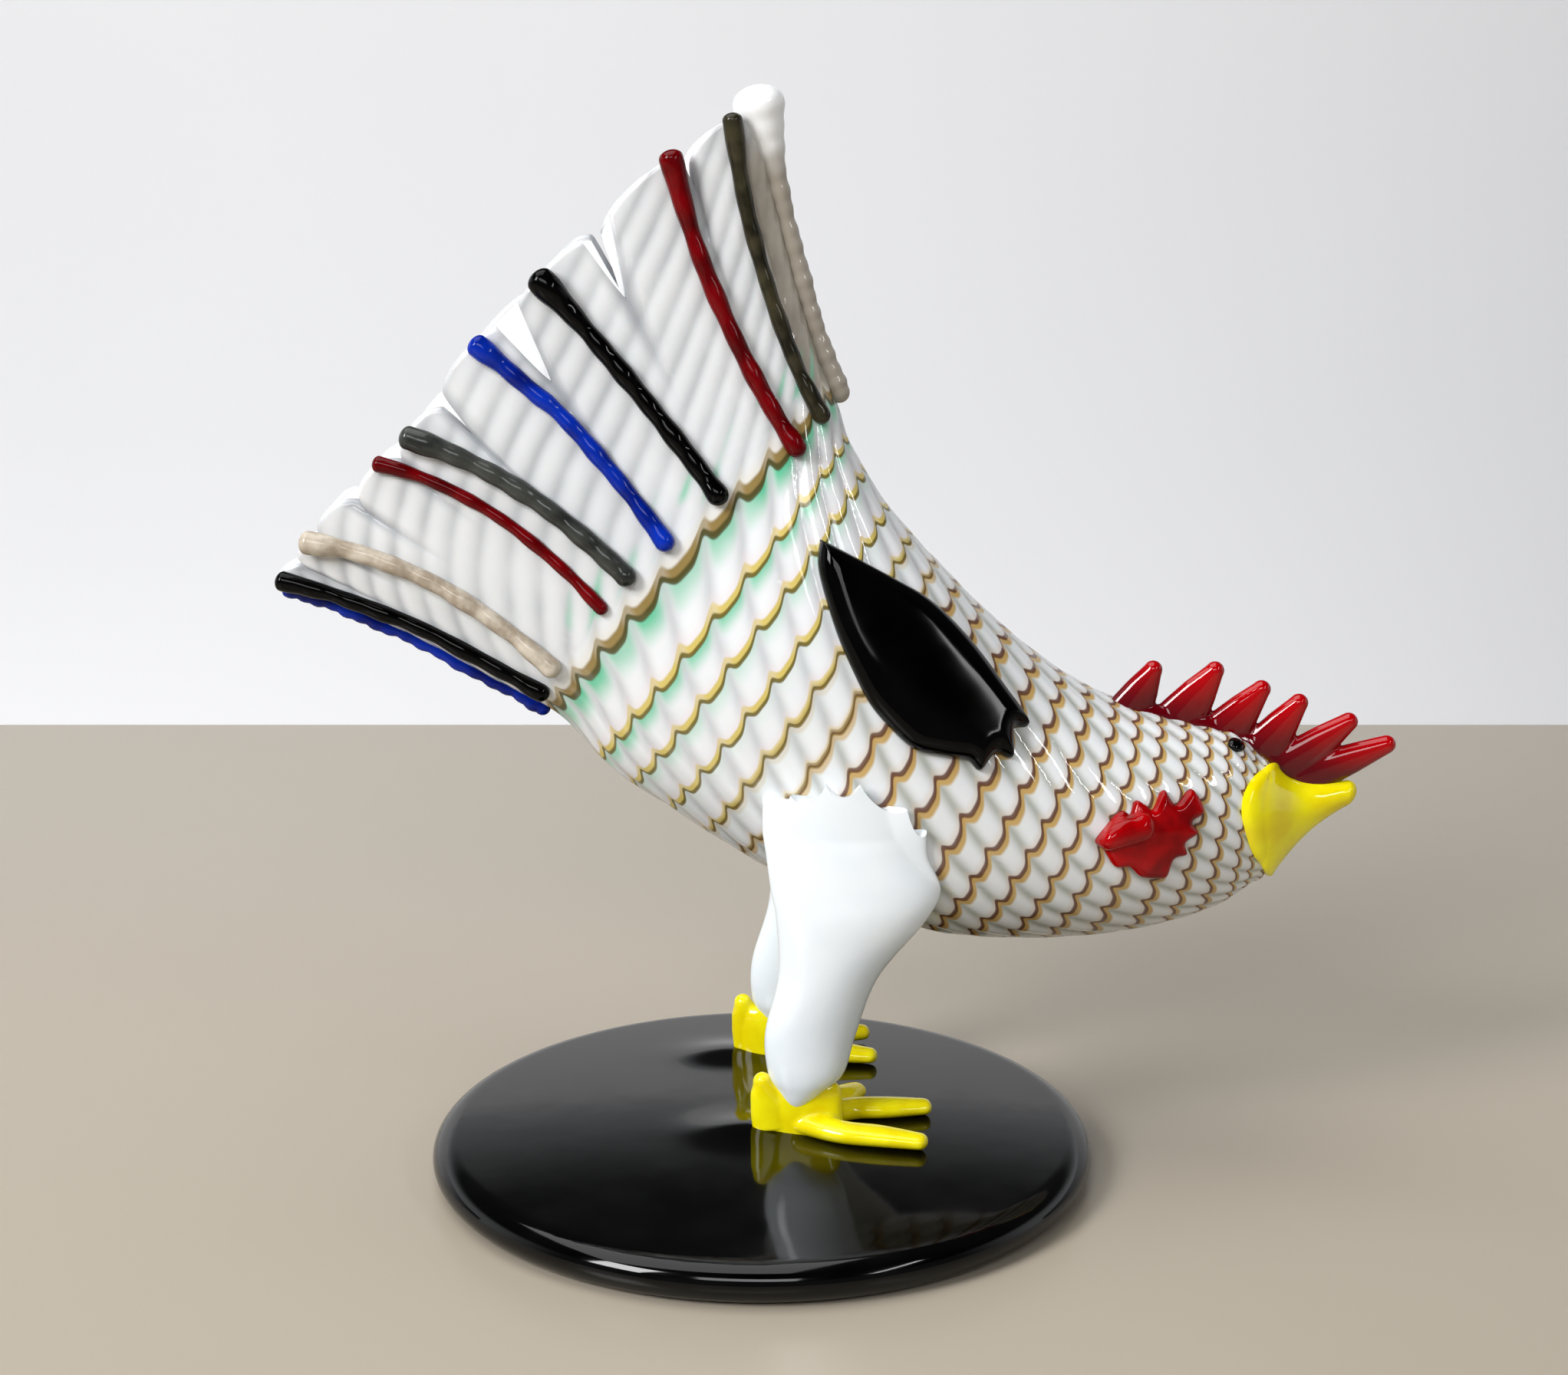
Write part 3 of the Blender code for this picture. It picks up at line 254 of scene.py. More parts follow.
# Spikes of the comb: root, tip and half length of the root
SPIKES = (
    ((0.354, 0.384), (0.3850, 0.4440), 0.025),
    ((0.402, 0.376), (0.4461, 0.4426), 0.028),
    ((0.446, 0.365), (0.4929, 0.4233), 0.026),
    ((0.484, 0.346), (0.5296, 0.4100), 0.025),
    ((0.508, 0.332), (0.5810, 0.3890), 0.024),
    ((0.524, 0.323), (0.6205, 0.3640), 0.022),
)
COMB_RIDGE = ((0.350, 0.396), (0.402, 0.387), (0.446, 0.375), (0.482, 0.357), (0.508, 0.338))
# The comb's colour changes between two levels, measured along a leaning direction
COMB_LEAN = 0.367
COMB_ROOT_LEVEL = DISC_THICKNESS + DISC_DOME + ROOSTER_HEIGHT * 0.530
COMB_TIP_LEVEL = DISC_THICKNESS + DISC_DOME + ROOSTER_HEIGHT * 0.592
# How far along a spike it has narrowed by what share, on the comb and on the heel
COMB_STEPS = ((0.0, 0.0), (0.30, 0.22), (0.64, 0.54), (1.0, 1.0))
HEEL_STEPS = ((0.0, 0.0), (0.40, 0.21), (0.80, 0.58), (1.0, 1.0))

# Beak: where its hood ends on the head (angle in degrees, station), its sections further on
# (place in the middle plane, half height, half width), and its tip
HOOD_EDGE = (
    (0, 14.40), (25, 14.15), (40, 13.70), (53, 13.20), (68, 12.95), (80, 13.10), (102, 13.52),
    (123, 14.05), (150, 14.30), (180, 14.40),
)
HOOD_SPAN = 0.20
HOOD_BLEND = 9
HOOD_LAST_STATION = LAST_STATION + 0.3
BEAK_SECTIONS = (
    (0.5185, 0.2878, 0.0385, 0.0370),
    (0.5275, 0.2935, 0.0308, 0.0305),
    (0.5400, 0.3005, 0.0234, 0.0245),
    (0.5560, 0.3060, 0.0178, 0.0190),
    (0.5720, 0.3098, 0.0134, 0.0135),
)
BEAK_TIP = (0.5850, 0.3137)


# Forms shared with the solids

def foot_level():
    """Height of the disc's top under the feet."""
    return DISC_THICKNESS + DISC_DOME


def figure_place(x, z):
    """Turn shares of the rooster's height into metres in the middle plane."""
    return ROOSTER_HEIGHT * x, foot_level() + ROOSTER_HEIGHT * z


def points(*values):
    """Points from their coordinates, each an array or one number."""
    return np.stack(np.broadcast_arrays(*values), axis=-1)


def figure_point(x, out, z):
    """Point from shares of the rooster's height: ahead, out to the right, and over the disc."""
    ahead, up = figure_place(x, z)
    return points(ahead, SET_BACK - ROOSTER_HEIGHT * out, up)


def circle(count):
    """Angles of evenly spaced places round a circle."""
    return 2 * math.pi * np.arange(count) / count


def signed_power(values, power):
    """Power of each value's size, with the value's own sign."""
    return np.sign(values) * np.abs(values) ** power


def unit(vectors):
    """Vectors of length one in the same directions."""
    return vectors / np.linalg.norm(vectors, axis=-1, keepdims=True)


def smooth_table(rows, place):
    """Value at a place, counted in rows, on a smooth curve through the rows of a table."""
    values = np.asarray(rows, float)
    last = len(values) - 1
    values = np.concatenate([[2 * values[0] - values[1]], values, [2 * values[-1] - values[-2]]])
    place = np.clip(place, 0.0, last)
    low = np.minimum(np.floor(place).astype(int), last - 1)
    f = place - low
    before, start, end, after = values[low], values[low + 1], values[low + 2], values[low + 3]
    if values.ndim == 2:
        f = f[..., None]
    slope = (end - before) * f
    bend = (2 * before - 5 * start + 4 * end - after) * f ** 2
    turn = (3 * start - before - 3 * end + after) * f ** 3
    return 0.5 * (2 * start + slope + bend + turn)


def station_value(column, t):
    """Value of one column of STATIONS at station t."""
    return smooth_table([row[column] for row in STATIONS], t)


def station_ends(t):
    """Belly and back points of the section at station t, in the middle plane."""
    belly = points(*figure_place(station_value(0, t), station_value(1, t)))
    back = points(*figure_place(station_value(2, t), station_value(3, t)))
    return belly, back


def body_point(t, angle, inset=0.0):
    """Point of the body's surface at station t and an angle round it from the back."""
    t, angle = np.broadcast_arrays(np.asarray(t, float), np.asarray(angle, float))
    belly, back = station_ends(t)
    half_width = ROOSTER_HEIGHT * station_value(4, t)
    power = station_value(5, t)
    middle = (belly + back) / 2
    half_height = np.linalg.norm(back - belly, axis=-1) / 2
    up = (back - middle) / half_height[..., None]
    end = np.clip(t - LAST_STATION, 0.0, 1.0) * math.pi / 2
    shrink = np.cos(end)
    pole = np.array(figure_place(*HEAD_POLE))
    last_belly, last_back = station_ends(np.array(float(LAST_STATION)))
    reach = np.linalg.norm(pole - (last_belly + last_back) / 2)
    middle = middle + (pole - middle) * (np.sin(end) * (1 - inset / reach))[..., None]
    along = signed_power(np.cos(angle), power)
    across = signed_power(np.sin(angle), power)
    bulge = ROOSTER_HEIGHT * FAN_BULGE * (1 - along ** 2)
    bulge = bulge * np.clip(1 - t / FAN_ROOT_STATION, 0.0, 1.0)
    rise = (half_height - inset) * shrink * along
    x = middle[..., 0] + up[..., 0] * rise - up[..., 1] * bulge
    z = middle[..., 1] + up[..., 1] * rise + up[..., 0] * bulge
    y = SET_BACK - (half_width - inset) * shrink * across
    return points(x, y, z)


def body_normal(t, angle):
    """Outward unit normal of the body's surface."""
    step = 0.01
    along = body_point(t + step, angle) - body_point(t - step, angle)
    around = body_point(t, angle + step) - body_point(t, angle - step)
    normal = np.cross(along, around)
    normal /= np.maximum(np.linalg.norm(normal, axis=-1, keepdims=True), 1e-12)
    outward = body_point(t, angle) - body_point(t, angle, inset=BODY_WALL)
    return normal * np.sign(np.sum(normal * outward, axis=-1, keepdims=True))


def lifted_point(t, angle, height):
    """Point at a height over the body's surface."""
    return body_point(t, angle) + body_normal(t, angle) * np.asarray(height)[..., None]


def surface_place(x, z):
    """Station and angle on the body's right side for a place seen from the side."""
    x, z = np.broadcast_arrays(np.asarray(x, float), np.asarray(z, float))
    low = np.zeros(x.shape)
    high = np.full(x.shape, float(LAST_STATION))
    for _ in range(30):
        t = (low + high) / 2
        belly, back = station_ends(t)
        up = back - belly
        ahead = (x - belly[..., 0]) * up[..., 1] - (z - belly[..., 1]) * up[..., 0]
        low = np.where(ahead > 0, t, low)
        high = np.where(ahead > 0, high, t)
    belly, back = station_ends(t)
    up = back - belly
    share = (x - belly[..., 0]) * up[..., 0] + (z - belly[..., 1]) * up[..., 1]
    along = np.clip(2 * share / np.sum(up * up, axis=-1) - 1, -0.9999, 0.9999)
    return t, np.arccos(signed_power(along, 1 / station_value(5, t)))


def raised(places, height):
    """Points at a height over the right flank, for places seen from the side."""
    return lifted_point(*surface_place(places[..., 0], places[..., 1]), height)


def side_depth(x, z):
    """How far the body reaches from the middle plane at a place seen from the side."""
    t, angle = surface_place(x, z)
    return SET_BACK - body_point(t, angle)[..., 1]


def mirrored(points, side):
    """Points of the right side, or their mirror images on the left side."""
    points = np.array(points, float)
    if side == LEFT:
        points[..., 1] = 2 * SET_BACK - points[..., 1]
    return points


def rib_phase(t, angle):
    """Place across the twisted ribs, counted in ribs, with whole numbers in the grooves."""
    turns = np.array(RIB_TURNS)
    twist = np.interp(t, turns[:, 0], turns[:, 1])
    return (np.degrees(angle) - twist) * RIB_COUNT / 360


def thread_index(t):
    """Place along the body counted in threads, which goes on towards the tail of the first one."""
    first_step = THREAD_STATIONS[1] - THREAD_STATIONS[0]
    before = np.minimum((t - THREAD_STATIONS[0]) / first_step, 0.0)
    return before + np.interp(t, THREAD_STATIONS, np.arange(len(THREAD_STATIONS)))


# Meshes

def mesh_object(name, vertices, faces, smooth_angle=50):
    """An object from points and faces, shaded smooth, with its faces pointing out."""
    mesh = bpy.data.meshes.new(name)
    mesh.from_pydata(np.asarray(vertices, float).reshape(-1, 3).tolist(), [], faces)
    work = bmesh.new()
    work.from_mesh(mesh)
    bmesh.ops.recalc_face_normals(work, faces=work.faces)
    work.to_mesh(mesh)
    work.free()
    mesh.shade_smooth()
    mesh.set_sharp_from_angle(angle=math.radians(smooth_angle))
    thing = bpy.data.objects.new(name, mesh)
    bpy.context.scene.collection.objects.link(thing)
    return thing


def loft_faces(rings, count):
    """Quads between neighbouring closed rings."""
    faces = []
    for ring in range(rings - 1):
        low = ring * count
        high = low + count
        for place in range(count):
            following = (place + 1) % count
            faces.append((low + place, low + following, high + following, high + place))
    return faces


def closed_loft(rings, start=None, end=None):
    """Points and faces of a closed solid through rings, closed at each end round a point."""
    count = len(rings[0])
    vertices = [point for ring in rings for point in ring]
    faces = loft_faces(len(rings), count)
    last = (len(rings) - 1) * count
    middle = len(vertices)
    vertices.append(np.mean(rings[0], axis=0) if start is None else start)
    vertices.append(np.mean(rings[-1], axis=0) if end is None else end)
    for place in range(count):
        following = (place + 1) % count
        faces.append((following, place, middle))
        faces.append((last + place, last + following, middle + 1))
    return vertices, faces


def baked(thing):
    """Apply an object's modifiers to its mesh."""
    depsgraph = bpy.context.evaluated_depsgraph_get()
    mesh = bpy.data.meshes.new_from_object(thing.evaluated_get(depsgraph))
    thing.modifiers.clear()
    thing.data = mesh
    mesh.shade_smooth()
    return thing


def fused(name, shapes, voxel, rounds):
    """One smooth piece from several overlapping closed shapes, as when hot glass flows together."""
    vertices = []
    faces = []
    for points, polygons in shapes:
        first = len(vertices)
        vertices.extend(points)
        faces.extend(tuple(first + corner for corner in polygon) for polygon in polygons)
    thing = mesh_object(name, vertices, faces)
    remesh = thing.modifiers.new("fuse", "REMESH")
    remesh.mode = "VOXEL"
    remesh.voxel_size = voxel * 1
    smooth = thing.modifiers.new("soften", "SMOOTH")
    smooth.factor = 0.5
    smooth.iterations = rounds
    return baked(thing)


def place_piece(thing, glass, slot, *nodes):
    """Let a piece of one glass ride on the frame and stand for its nodes, inside the solids' box."""
    places = np.empty(3 * len(thing.data.vertices), np.float32)
    thing.data.vertices.foreach_get("co", places)
    places = np.clip(places.reshape(-1, 3), *np.array(cad_box, np.float32))
    thing.data.vertices.foreach_set("co", places.ravel())
    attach(thing, "root")
    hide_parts(*nodes)
    thing.data.materials.append(glass)


# Materials

def srgb(red, green, blue):
    """Linear colour from screen values of 0 to 255."""
    out = []
    for value in (red, green, blue):
        value /= 255
        out.append(value / 12.92 if value <= 0.04045 else ((value + 0.055) / 1.055) ** 2.4)
    return (*out, 1.0)


class Nodes:
    """Short names for building one material's nodes."""

    def __init__(self, name, roughness):
        self.material = bpy.data.materials.new(name)
        self.material.use_nodes = True
        self.tree = self.material.node_tree
        self.shader = self.tree.nodes["Principled BSDF"]
        self.shader.inputs["Roughness"].default_value = roughness

    def add(self, kind, **values):
        node = self.tree.nodes.new(kind)
        for key, value in values.items():
            setattr(node, key, value)
        return node

    def put(self, socket, value):
        if isinstance(value, bpy.types.NodeSocket):
            self.tree.links.new(value, socket)
        else:
            socket.default_value = value

    def math(self, operation, *values):
        node = self.add("ShaderNodeMath", operation=operation)
        for socket, value in zip(node.inputs, values):
            self.put(socket, value)
        return node.outputs[0]

    def times(self, value, *others):
        """The product of all the values."""
        for other in others:
            value = self.math("MULTIPLY", value, other)
        return value

    def span(self, value, low, high, first=0.0, second=1.0):
        """Smooth change from first to second while value goes from low to high."""
        node = self.add("ShaderNodeMapRange", interpolation_type="SMOOTHSTEP")
        for place, item in enumerate((value, low, high, first, second)):
            self.put(node.inputs[place], item)
        return node.outputs[0]

    def fade(self, value, low, high):
        """Smooth change from 1 to 0 while value goes from low to high."""
        return self.span(value, low, high, 1.0, 0.0)

    def mix(self, factor, first, second):
        node = self.add("ShaderNodeMix", data_type="RGBA")
        self.put(node.inputs[0], factor)
        self.put(node.inputs[6], first)
        self.put(node.inputs[7], second)
        return node.outputs[2]

    def mix_value(self, factor, first, second):
        """A number between two others."""
        node = self.add("ShaderNodeMix", data_type="FLOAT")
        for place, item in ((0, factor), (2, first), (3, second)):
            self.put(node.inputs[place], item)
        return node.outputs[0]

    def around_zero(self, value, size):
        """A value of 0 to 1 made to lie round zero, over a given size in all."""
        return self.times(self.math("SUBTRACT", value, 0.5), size)

    def map_values(self, name):
        """Both numbers of one of the mesh's own maps."""
        split = self.add("ShaderNodeSeparateXYZ")
        self.put(split.inputs[0], self.add("ShaderNodeUVMap", uv_map=name).outputs[0])
        return split.outputs[0], split.outputs[1]

    def noise(self, scale, detail=2.0):
        node = self.add("ShaderNodeTexNoise")
        self.put(node.inputs["Vector"], self.add("ShaderNodeTexCoord").outputs["Object"])
        node.inputs["Scale"].default_value = scale
        node.inputs["Detail"].default_value = detail
        return node.outputs["Fac"]

    def bump(self, height, strength, distance):
        node = self.add("ShaderNodeBump")
        node.inputs["Strength"].default_value = strength
        node.inputs["Distance"].default_value = distance
        self.put(node.inputs["Height"], height)
        self.put(self.shader.inputs["Normal"], node.outputs[0])

    def colour(self, value):
        self.put(self.shader.inputs["Base Color"], value)

    def gloss(self, low, high):
        """Roughness that varies softly over the surface."""
        self.put(self.shader.inputs["Roughness"], self.span(self.noise(60), 0.3, 0.7, low, high))


def plain_glass(name, dark, light, scale, low=0.03, high=0.09, bump=0.12, shine=0.5):
    """Glossy glass of one colour, a little uneven in depth and on its surface."""
    work = Nodes(name, low)
    work.shader.inputs["Specular IOR Level"].default_value = shine
    work.colour(work.mix(work.span(work.noise(scale, 3.0), 0.3, 0.7), dark, light))
    work.gloss(low, high)
    work.bump(work.noise(90, 1.0), bump, 0.0006)
    return work.material


def body_glass():
    """Milky glass with rows of scalloped threads, laid out by the mesh's own rib and thread map, with
    painted shade in the grooves and beside the slits.
    """
    work = Nodes("body_glass", 0.05)
    work.shader.inputs["Subsurface Weight"].default_value = 0.08
    work.shader.inputs["Subsurface Scale"].default_value = 0.003
    span, fade, times, mix, noise = work.span, work.fade, work.times, work.mix, work.noise

    # Place across a rib, arc over it, and place along the body counted in scalloped threads
    across, along = work.map_values("threads")
    rib = work.math("FRACT", work.math("ADD", across, work.around_zero(noise(70), 0.12)))
    arc = times(rib, work.math("SUBTRACT", 1.0, rib), 4.0)
    scallop = times(span(arc, 0.0, 1.0), span(along, 0.5, 4.5, 0.17, 0.21))
    uneven = work.around_zero(noise(40), span(along, 2.5, 6.0, 0.10, 0.24))
    level = work.math("ADD", work.math("SUBTRACT", along, scallop), uneven)
    number = work.math("ROUND", level)
    off = work.math("SUBTRACT", level, number)
    before = work.math("LESS_THAN", off, 0.0)
    first = work.math("LESS_THAN", number, 1.5)
    head = span(along, 4.0, 7.5)
    on_tail = fade(level, 0.50, 0.62)

    # Milky ground with painted shade in the rib grooves and beside the slits, and tan along the fan's upper
    # edge
    milk = mix(noise(30, 3.0), srgb(216, 219, 222), srgb(234, 236, 238))
    # Painted shade: grey in each rib's groove, and softer, wider and uneven on the fan
    groove_shade = fade(arc, 0.0, 1.0)
    tail_groove_shade = times(fade(arc, 0.0, 1.25), span(noise(45), 0.3, 0.7, 0.35, 0.75))
    shade = work.mix_value(on_tail, times(groove_shade, work.mix_value(head, 0.55, 0.75)), tail_groove_shade)
    base = mix(shade, milk, mix(head, srgb(170, 174, 178), srgb(150, 154, 142)))
    # Painted shade along the fingers' edges beside the slits, fading away from the rim
    closeness, behind = work.map_values("fan")
    slit_shade = times(span(closeness, 0.60, 1.0), span(behind, 0.0, 1.5, 0.85, 0.0))
    base = mix(slit_shade, base, srgb(146, 150, 156))
    turn, station = work.map_values("round")
    tan = times(span(turn, 0.13, 0.17, 0.9, 0.0), fade(station, 3.5, 3.9), span(station, 0.2, 0.9))
    base = mix(tan, base, mix(noise(120), srgb(134, 124, 110), srgb(196, 188, 174)))

    # Aqua below each thread, strongest near the tail, and streaks of it on the fan's root
    aqua = times(fade(off, 0.03, 0.48), work.math("GREATER_THAN", off, 0.0))
    aqua = times(aqua, span(along, 1.3, 4.5, 1.0, 0.12), span(arc, 0.15, 0.75, 0.35, 1.0))
    aqua = times(aqua, span(noise(50, 1.0), 0.30, 0.55, 0.60, 1.0), work.math("SUBTRACT", 1.0, on_tail))
    base = mix(aqua, base, mix(head, srgb(92, 190, 150), srgb(188, 202, 176)))
    streak = times(span(level, -0.15, 0.35), on_tail, span(noise(38, 1.0), 0.48, 0.60, 0.0, 0.9), groove_shade)
    base = mix(streak, base, srgb(132, 206, 174))

    # Threads near the tail: a thin gold band with a dark olive edge towards the head
    blush = times(span(off, -0.42, -0.14, 0.0, 0.5), before)
    tail_thread = mix(blush, base, mix(first, srgb(226, 212, 214), srgb(222, 214, 196)))
    flat = work.mix_value(span(arc, 0.25, 0.8), 0.70, 1.0)
    gold = times(span(off, -0.20, -0.14), fade(off, 0.0, 0.02), flat)
    tail_thread = mix(gold, tail_thread, mix(first, srgb(206, 186, 104), srgb(146, 124, 74)))
    edge = times(span(off, -0.07, -0.02), fade(off, 0.03, 0.07), 0.95)
    tail_thread = mix(edge, tail_thread, mix(first, srgb(104, 92, 38), srgb(78, 74, 38)))

    # Threads near the head: a dark brown line with a golden band on its head side
    pink = times(span(off, -0.34, -0.12, 0.0, 0.5), before)
    head_thread = mix(pink, base, srgb(212, 196, 180))
    band = times(span(off, -0.06, 0.0), fade(off, 0.12, 0.22))
    head_thread = mix(band, head_thread, srgb(190, 158, 98))
    line = times(span(off, -0.14, -0.08), fade(off, -0.01, 0.05), 0.92)
    head_thread = mix(line, head_thread, srgb(92, 52, 34))

    outside = mix(on_tail, mix(head, tail_thread, head_thread), base)
    # Inner skin: plain white without threads, and lighter than the outer milk as painted light where it
    # shows through the slits
    inside = work.math("LESS_THAN", along, INNER_MARK + 1)
    work.colour(mix(inside, outside, srgb(250, 251, 252)))
    work.gloss(0.03, 0.07)
    work.bump(noise(120, 1.0), 0.05, 0.0004)
    return work.material


def placed_glass(name, first, second, low, high, along=(0.0, 0.0, 1.0)):
    """Glossy glass that changes from one colour to another along a direction, in metres."""
    work = Nodes(name, 0.05)
    place = work.add("ShaderNodeTexCoord").outputs["Object"]
    product = work.add("ShaderNodeVectorMath", operation="DOT_PRODUCT")
    work.put(product.inputs[0], place)
    product.inputs[1].default_value = along
    where = work.math("ADD", product.outputs["Value"], work.around_zero(work.noise(90, 2.0), 0.006))
    work.colour(work.mix(work.span(where, low, high), first, second))
    work.gloss(0.03, 0.08)
    work.bump(work.noise(90, 1.0), 0.12, 0.0006)
    return work.material


# The body

def rim_share(angle):
    """Place on the rim, as a share of its length from the lower corner."""
    return (signed_power(np.cos(angle), STATIONS[0][5]) + 1) / 2


def share_angle(share, side):
    """Angle of a place on the rim on one side."""
    angle = np.arccos(signed_power(2 * np.asarray(share) - 1, 1 / STATIONS[0][5]))
    return angle if side == RIGHT else 2 * math.pi - angle


def finger_place(share, slits):
    """Number of the fan's finger at a place on the rim, and the place across it from -1 to 1."""
    ends = np.array([-slits[0][0]] + [slit[0] for slit in slits] + [2 - slits[-1][0]])
    finger = np.clip(np.searchsorted(ends, share, side="right") - 1, 0, len(slits))
    return finger, (2 * share - ends[finger] - ends[finger + 1]) / (ends[finger + 1] - ends[finger])


def rim_depth(share, slits):
    """How far the rim lies back from the fan's full outline, as a share of the rim's length."""
    finger, place = finger_place(share, slits)
    depth = np.array(FINGER_SHORTENING)[finger] + FINGER_ROUNDING * np.abs(place) ** 3
    for middle, half_width, slit_depth in slits:
        inside = np.clip(np.abs(share - middle) / half_width, 0.0, 1.0)
        depth = np.maximum(depth, slit_depth * (1 - inside ** 1.3))
    return depth


def body_columns():
    """Angles of the body's columns, closer together at the slits."""
    angles = []
    for side, slits in ((RIGHT, SLITS_RIGHT), (LEFT, SLITS_LEFT)):
        shares = list(np.linspace(0, 1, 101))
        shares += list(rim_share(np.linspace(0, math.pi, 61)))
        for middle, half_width, _ in slits:
            shares += list(middle + half_width * np.linspace(-1.15, 1.15, 13))
        kept = []
        for share in sorted(share for share in shares if 0 <= share <= 1):
            near_end = min(share, 1 - share) < 0.02
            if not kept or share - kept[-1] > (0.0002 if near_end else 0.0012):
                kept.append(share)
        angles += list(share_angle(np.array(kept), side) % (2 * math.pi))
    angles = np.sort(np.array(angles))
    return angles[np.concatenate([[True], np.diff(angles) > 0.002])]


def rim_curve(columns):
    """Station of the rim at each column, and the shift that rounds the slits' edges."""
    share = rim_share(columns)
    depth = np.where(np.sin(columns) >= 0, rim_depth(share, SLITS_RIGHT), rim_depth(share, SLITS_LEFT))
    belly, back = station_ends(np.array([0.0, 1.0]))
    rim_length = np.linalg.norm(back[0] - belly[0])
    lower = np.linalg.norm(belly[1] - belly[0])
    upper = np.linalg.norm(back[1] - back[0])
    step = lower + (upper - lower) * share
    return depth * rim_length / step, step


def add_maps(mesh, values, columns, across, rim):
    """Give the body's mesh its three maps: ribs and threads, place in a finger, place all round."""
    phases, threads, depths = values
    count = len(columns)
    corners = np.empty(len(mesh.loops), int)
    mesh.loops.foreach_get("vertex_index", corners)
    starts = np.empty(len(mesh.polygons), int)
    totals = np.empty(len(mesh.polygons), int)
    mesh.polygons.foreach_get("loop_start", starts)
    mesh.polygons.foreach_get("loop_total", totals)
    owner = np.repeat(np.arange(len(starts)), totals)
    column = corners % count
    at_seam = np.zeros(len(starts), bool)
    np.logical_or.at(at_seam, owner, column > count * 3 // 4)
    phase = phases[corners] + np.where(at_seam[owner] & (column < count // 4), RIB_COUNT, 0)
    turn = np.minimum(columns, 2 * math.pi - columns) / math.pi
    depth = depths[corners]
    for name, first, second in (
        ("threads", phase, threads[corners]),
        ("fan", np.abs(across)[column], depth),
        ("round", turn[column], depth + rim[column]),
    ):
        mesh.uv_layers.new(name=name).data.foreach_set("uv", points(first, second).ravel())


def build_body():
    """The blown body: ribbed outer skin, rounded rim and inner skin."""
    columns = body_columns()
    count = len(columns)
    rim, step = rim_curve(columns)
    share = rim_share(columns)
    on_right = np.sin(columns) >= 0
    across = np.where(on_right, finger_place(share, SLITS_RIGHT)[1], finger_place(share, SLITS_LEFT)[1])
    fall = PILLOW_DEPTH * np.abs(across) ** 5
    lip = BODY_WALL / 2
    fan_rows = 46
    body_rows = 112
    ends = 14 + (1 - np.cos(np.linspace(0, math.pi / 2, 14))[::-1][:-1])
    stations = [np.full(count, t) for t in sorted(ends[1:], reverse=True)]
    stations += [np.full(count, t) for t in np.linspace(JOIN_STATION, 14, body_rows)[::-1]]
    start = rim + lip / step
    for back in np.linspace(1, 0, fan_rows)[1:]:
        stations.append(start + (JOIN_STATION - start) * back ** 1.3)
    rings = []
    maps = []

    def add_ring(ring, t, threads):
        rings.append(ring)
        maps.append((rib_phase(t, columns), threads, t - rim))

    for t in stations:
        phase = rib_phase(t, columns)
        place = phase - np.floor(phase)
        fade = np.clip((t - rim) / 0.5, 0, 1) * np.clip((14.6 - t) / 1.0, 0, 1)
        groove = RIB_HEIGHT * (0.55 + 0.45 * np.clip((t - 3) / 1.5, 0, 1)) * (1 - 4 * place * (1 - place))
        pillow = fall * np.clip(1 - (t - rim) / PILLOW_STATIONS, 0, 1)
        add_ring(lifted_point(t, columns, -groove * fade - pillow), t, thread_index(t))
    for turn in np.linspace(0, math.pi, 7)[1:-1]:
        t = rim + lip * (1 - math.sin(turn)) / step
        pillow = fall * (1 - turn / math.pi)
        add_ring(body_point(t, columns, inset=lip * (1 - math.cos(turn)) + pillow), t, thread_index(t))
    inner = [start + (JOIN_STATION - start) * back for back in np.linspace(0, 1, 14)]
    inner += [np.full(count, t) for t in np.linspace(JOIN_STATION, 14.7, 30)[1:]]
    for t in inner:
        add_ring(body_point(t, columns, inset=BODY_WALL), t, np.full(count, INNER_MARK))
    outer_pole = body_point(LAST_STATION + 1.0, 0.0)
    inner_pole = body_point(LAST_STATION + 1.0, 0.0, inset=BODY_WALL)
    vertices, faces = closed_loft(rings, outer_pole, inner_pole)
    thing = mesh_object("body_shell", vertices, faces, 60)
    poles = np.array([[0.0, 23.0, 15.0], [0.0, INNER_MARK, 15.0]]).T
    values = np.concatenate([np.concatenate(maps, axis=1), poles], axis=1)
    add_maps(thing.data, values, columns, across, rim)
    return thing


# Applied pieces

def edge_distance(places, outline):
    """Distance from each place to a closed outline."""
    start = outline[None, :, :]
    run = np.roll(outline, -1, axis=0)[None, :, :] - start
    away = places[:, None, :] - start
    share = np.clip(np.sum(away * run, axis=-1) / np.sum(run * run, axis=-1), 0.0, 1.0)
    return np.min(np.linalg.norm(away - share[..., None] * run, axis=-1), axis=1)


def rounded(distance, radius):
    """Share of full height at a distance from a rounded edge."""
    return np.sqrt(1 - (1 - np.clip(distance / radius, 0.0, 1.0)) ** 2)


def patch(name, outline, middle, heights, side):
    """A patch of glass fused on the flank, with a rounded edge."""
    outline = np.array([figure_place(*place) for place in outline])
    closed = np.concatenate([outline[-1:], outline, outline[:2]])
    count = len(outline) * 10
    fine = smooth_table(closed, 1 + np.arange(count) * len(outline) / count)
    middle = np.array(figure_place(*middle))
    loops = [raised(middle + (fine - middle) * share, -PATCH_SINK) for share in (0.6, 1.0)]
    for share in np.sin(np.linspace(math.pi / 2, 0.05, 34)):
        places = middle + (fine - middle) * share
        loops.append(raised(places, heights(places, edge_distance(places, fine), share)))
    top = heights(middle[None, :], edge_distance(middle[None, :], fine), 0.0)[0]
    vertices, faces = closed_loft(loops, raised(middle, -PATCH_SINK), raised(middle, top))
    return mesh_object(name, mirrored(vertices, side), faces, 70)


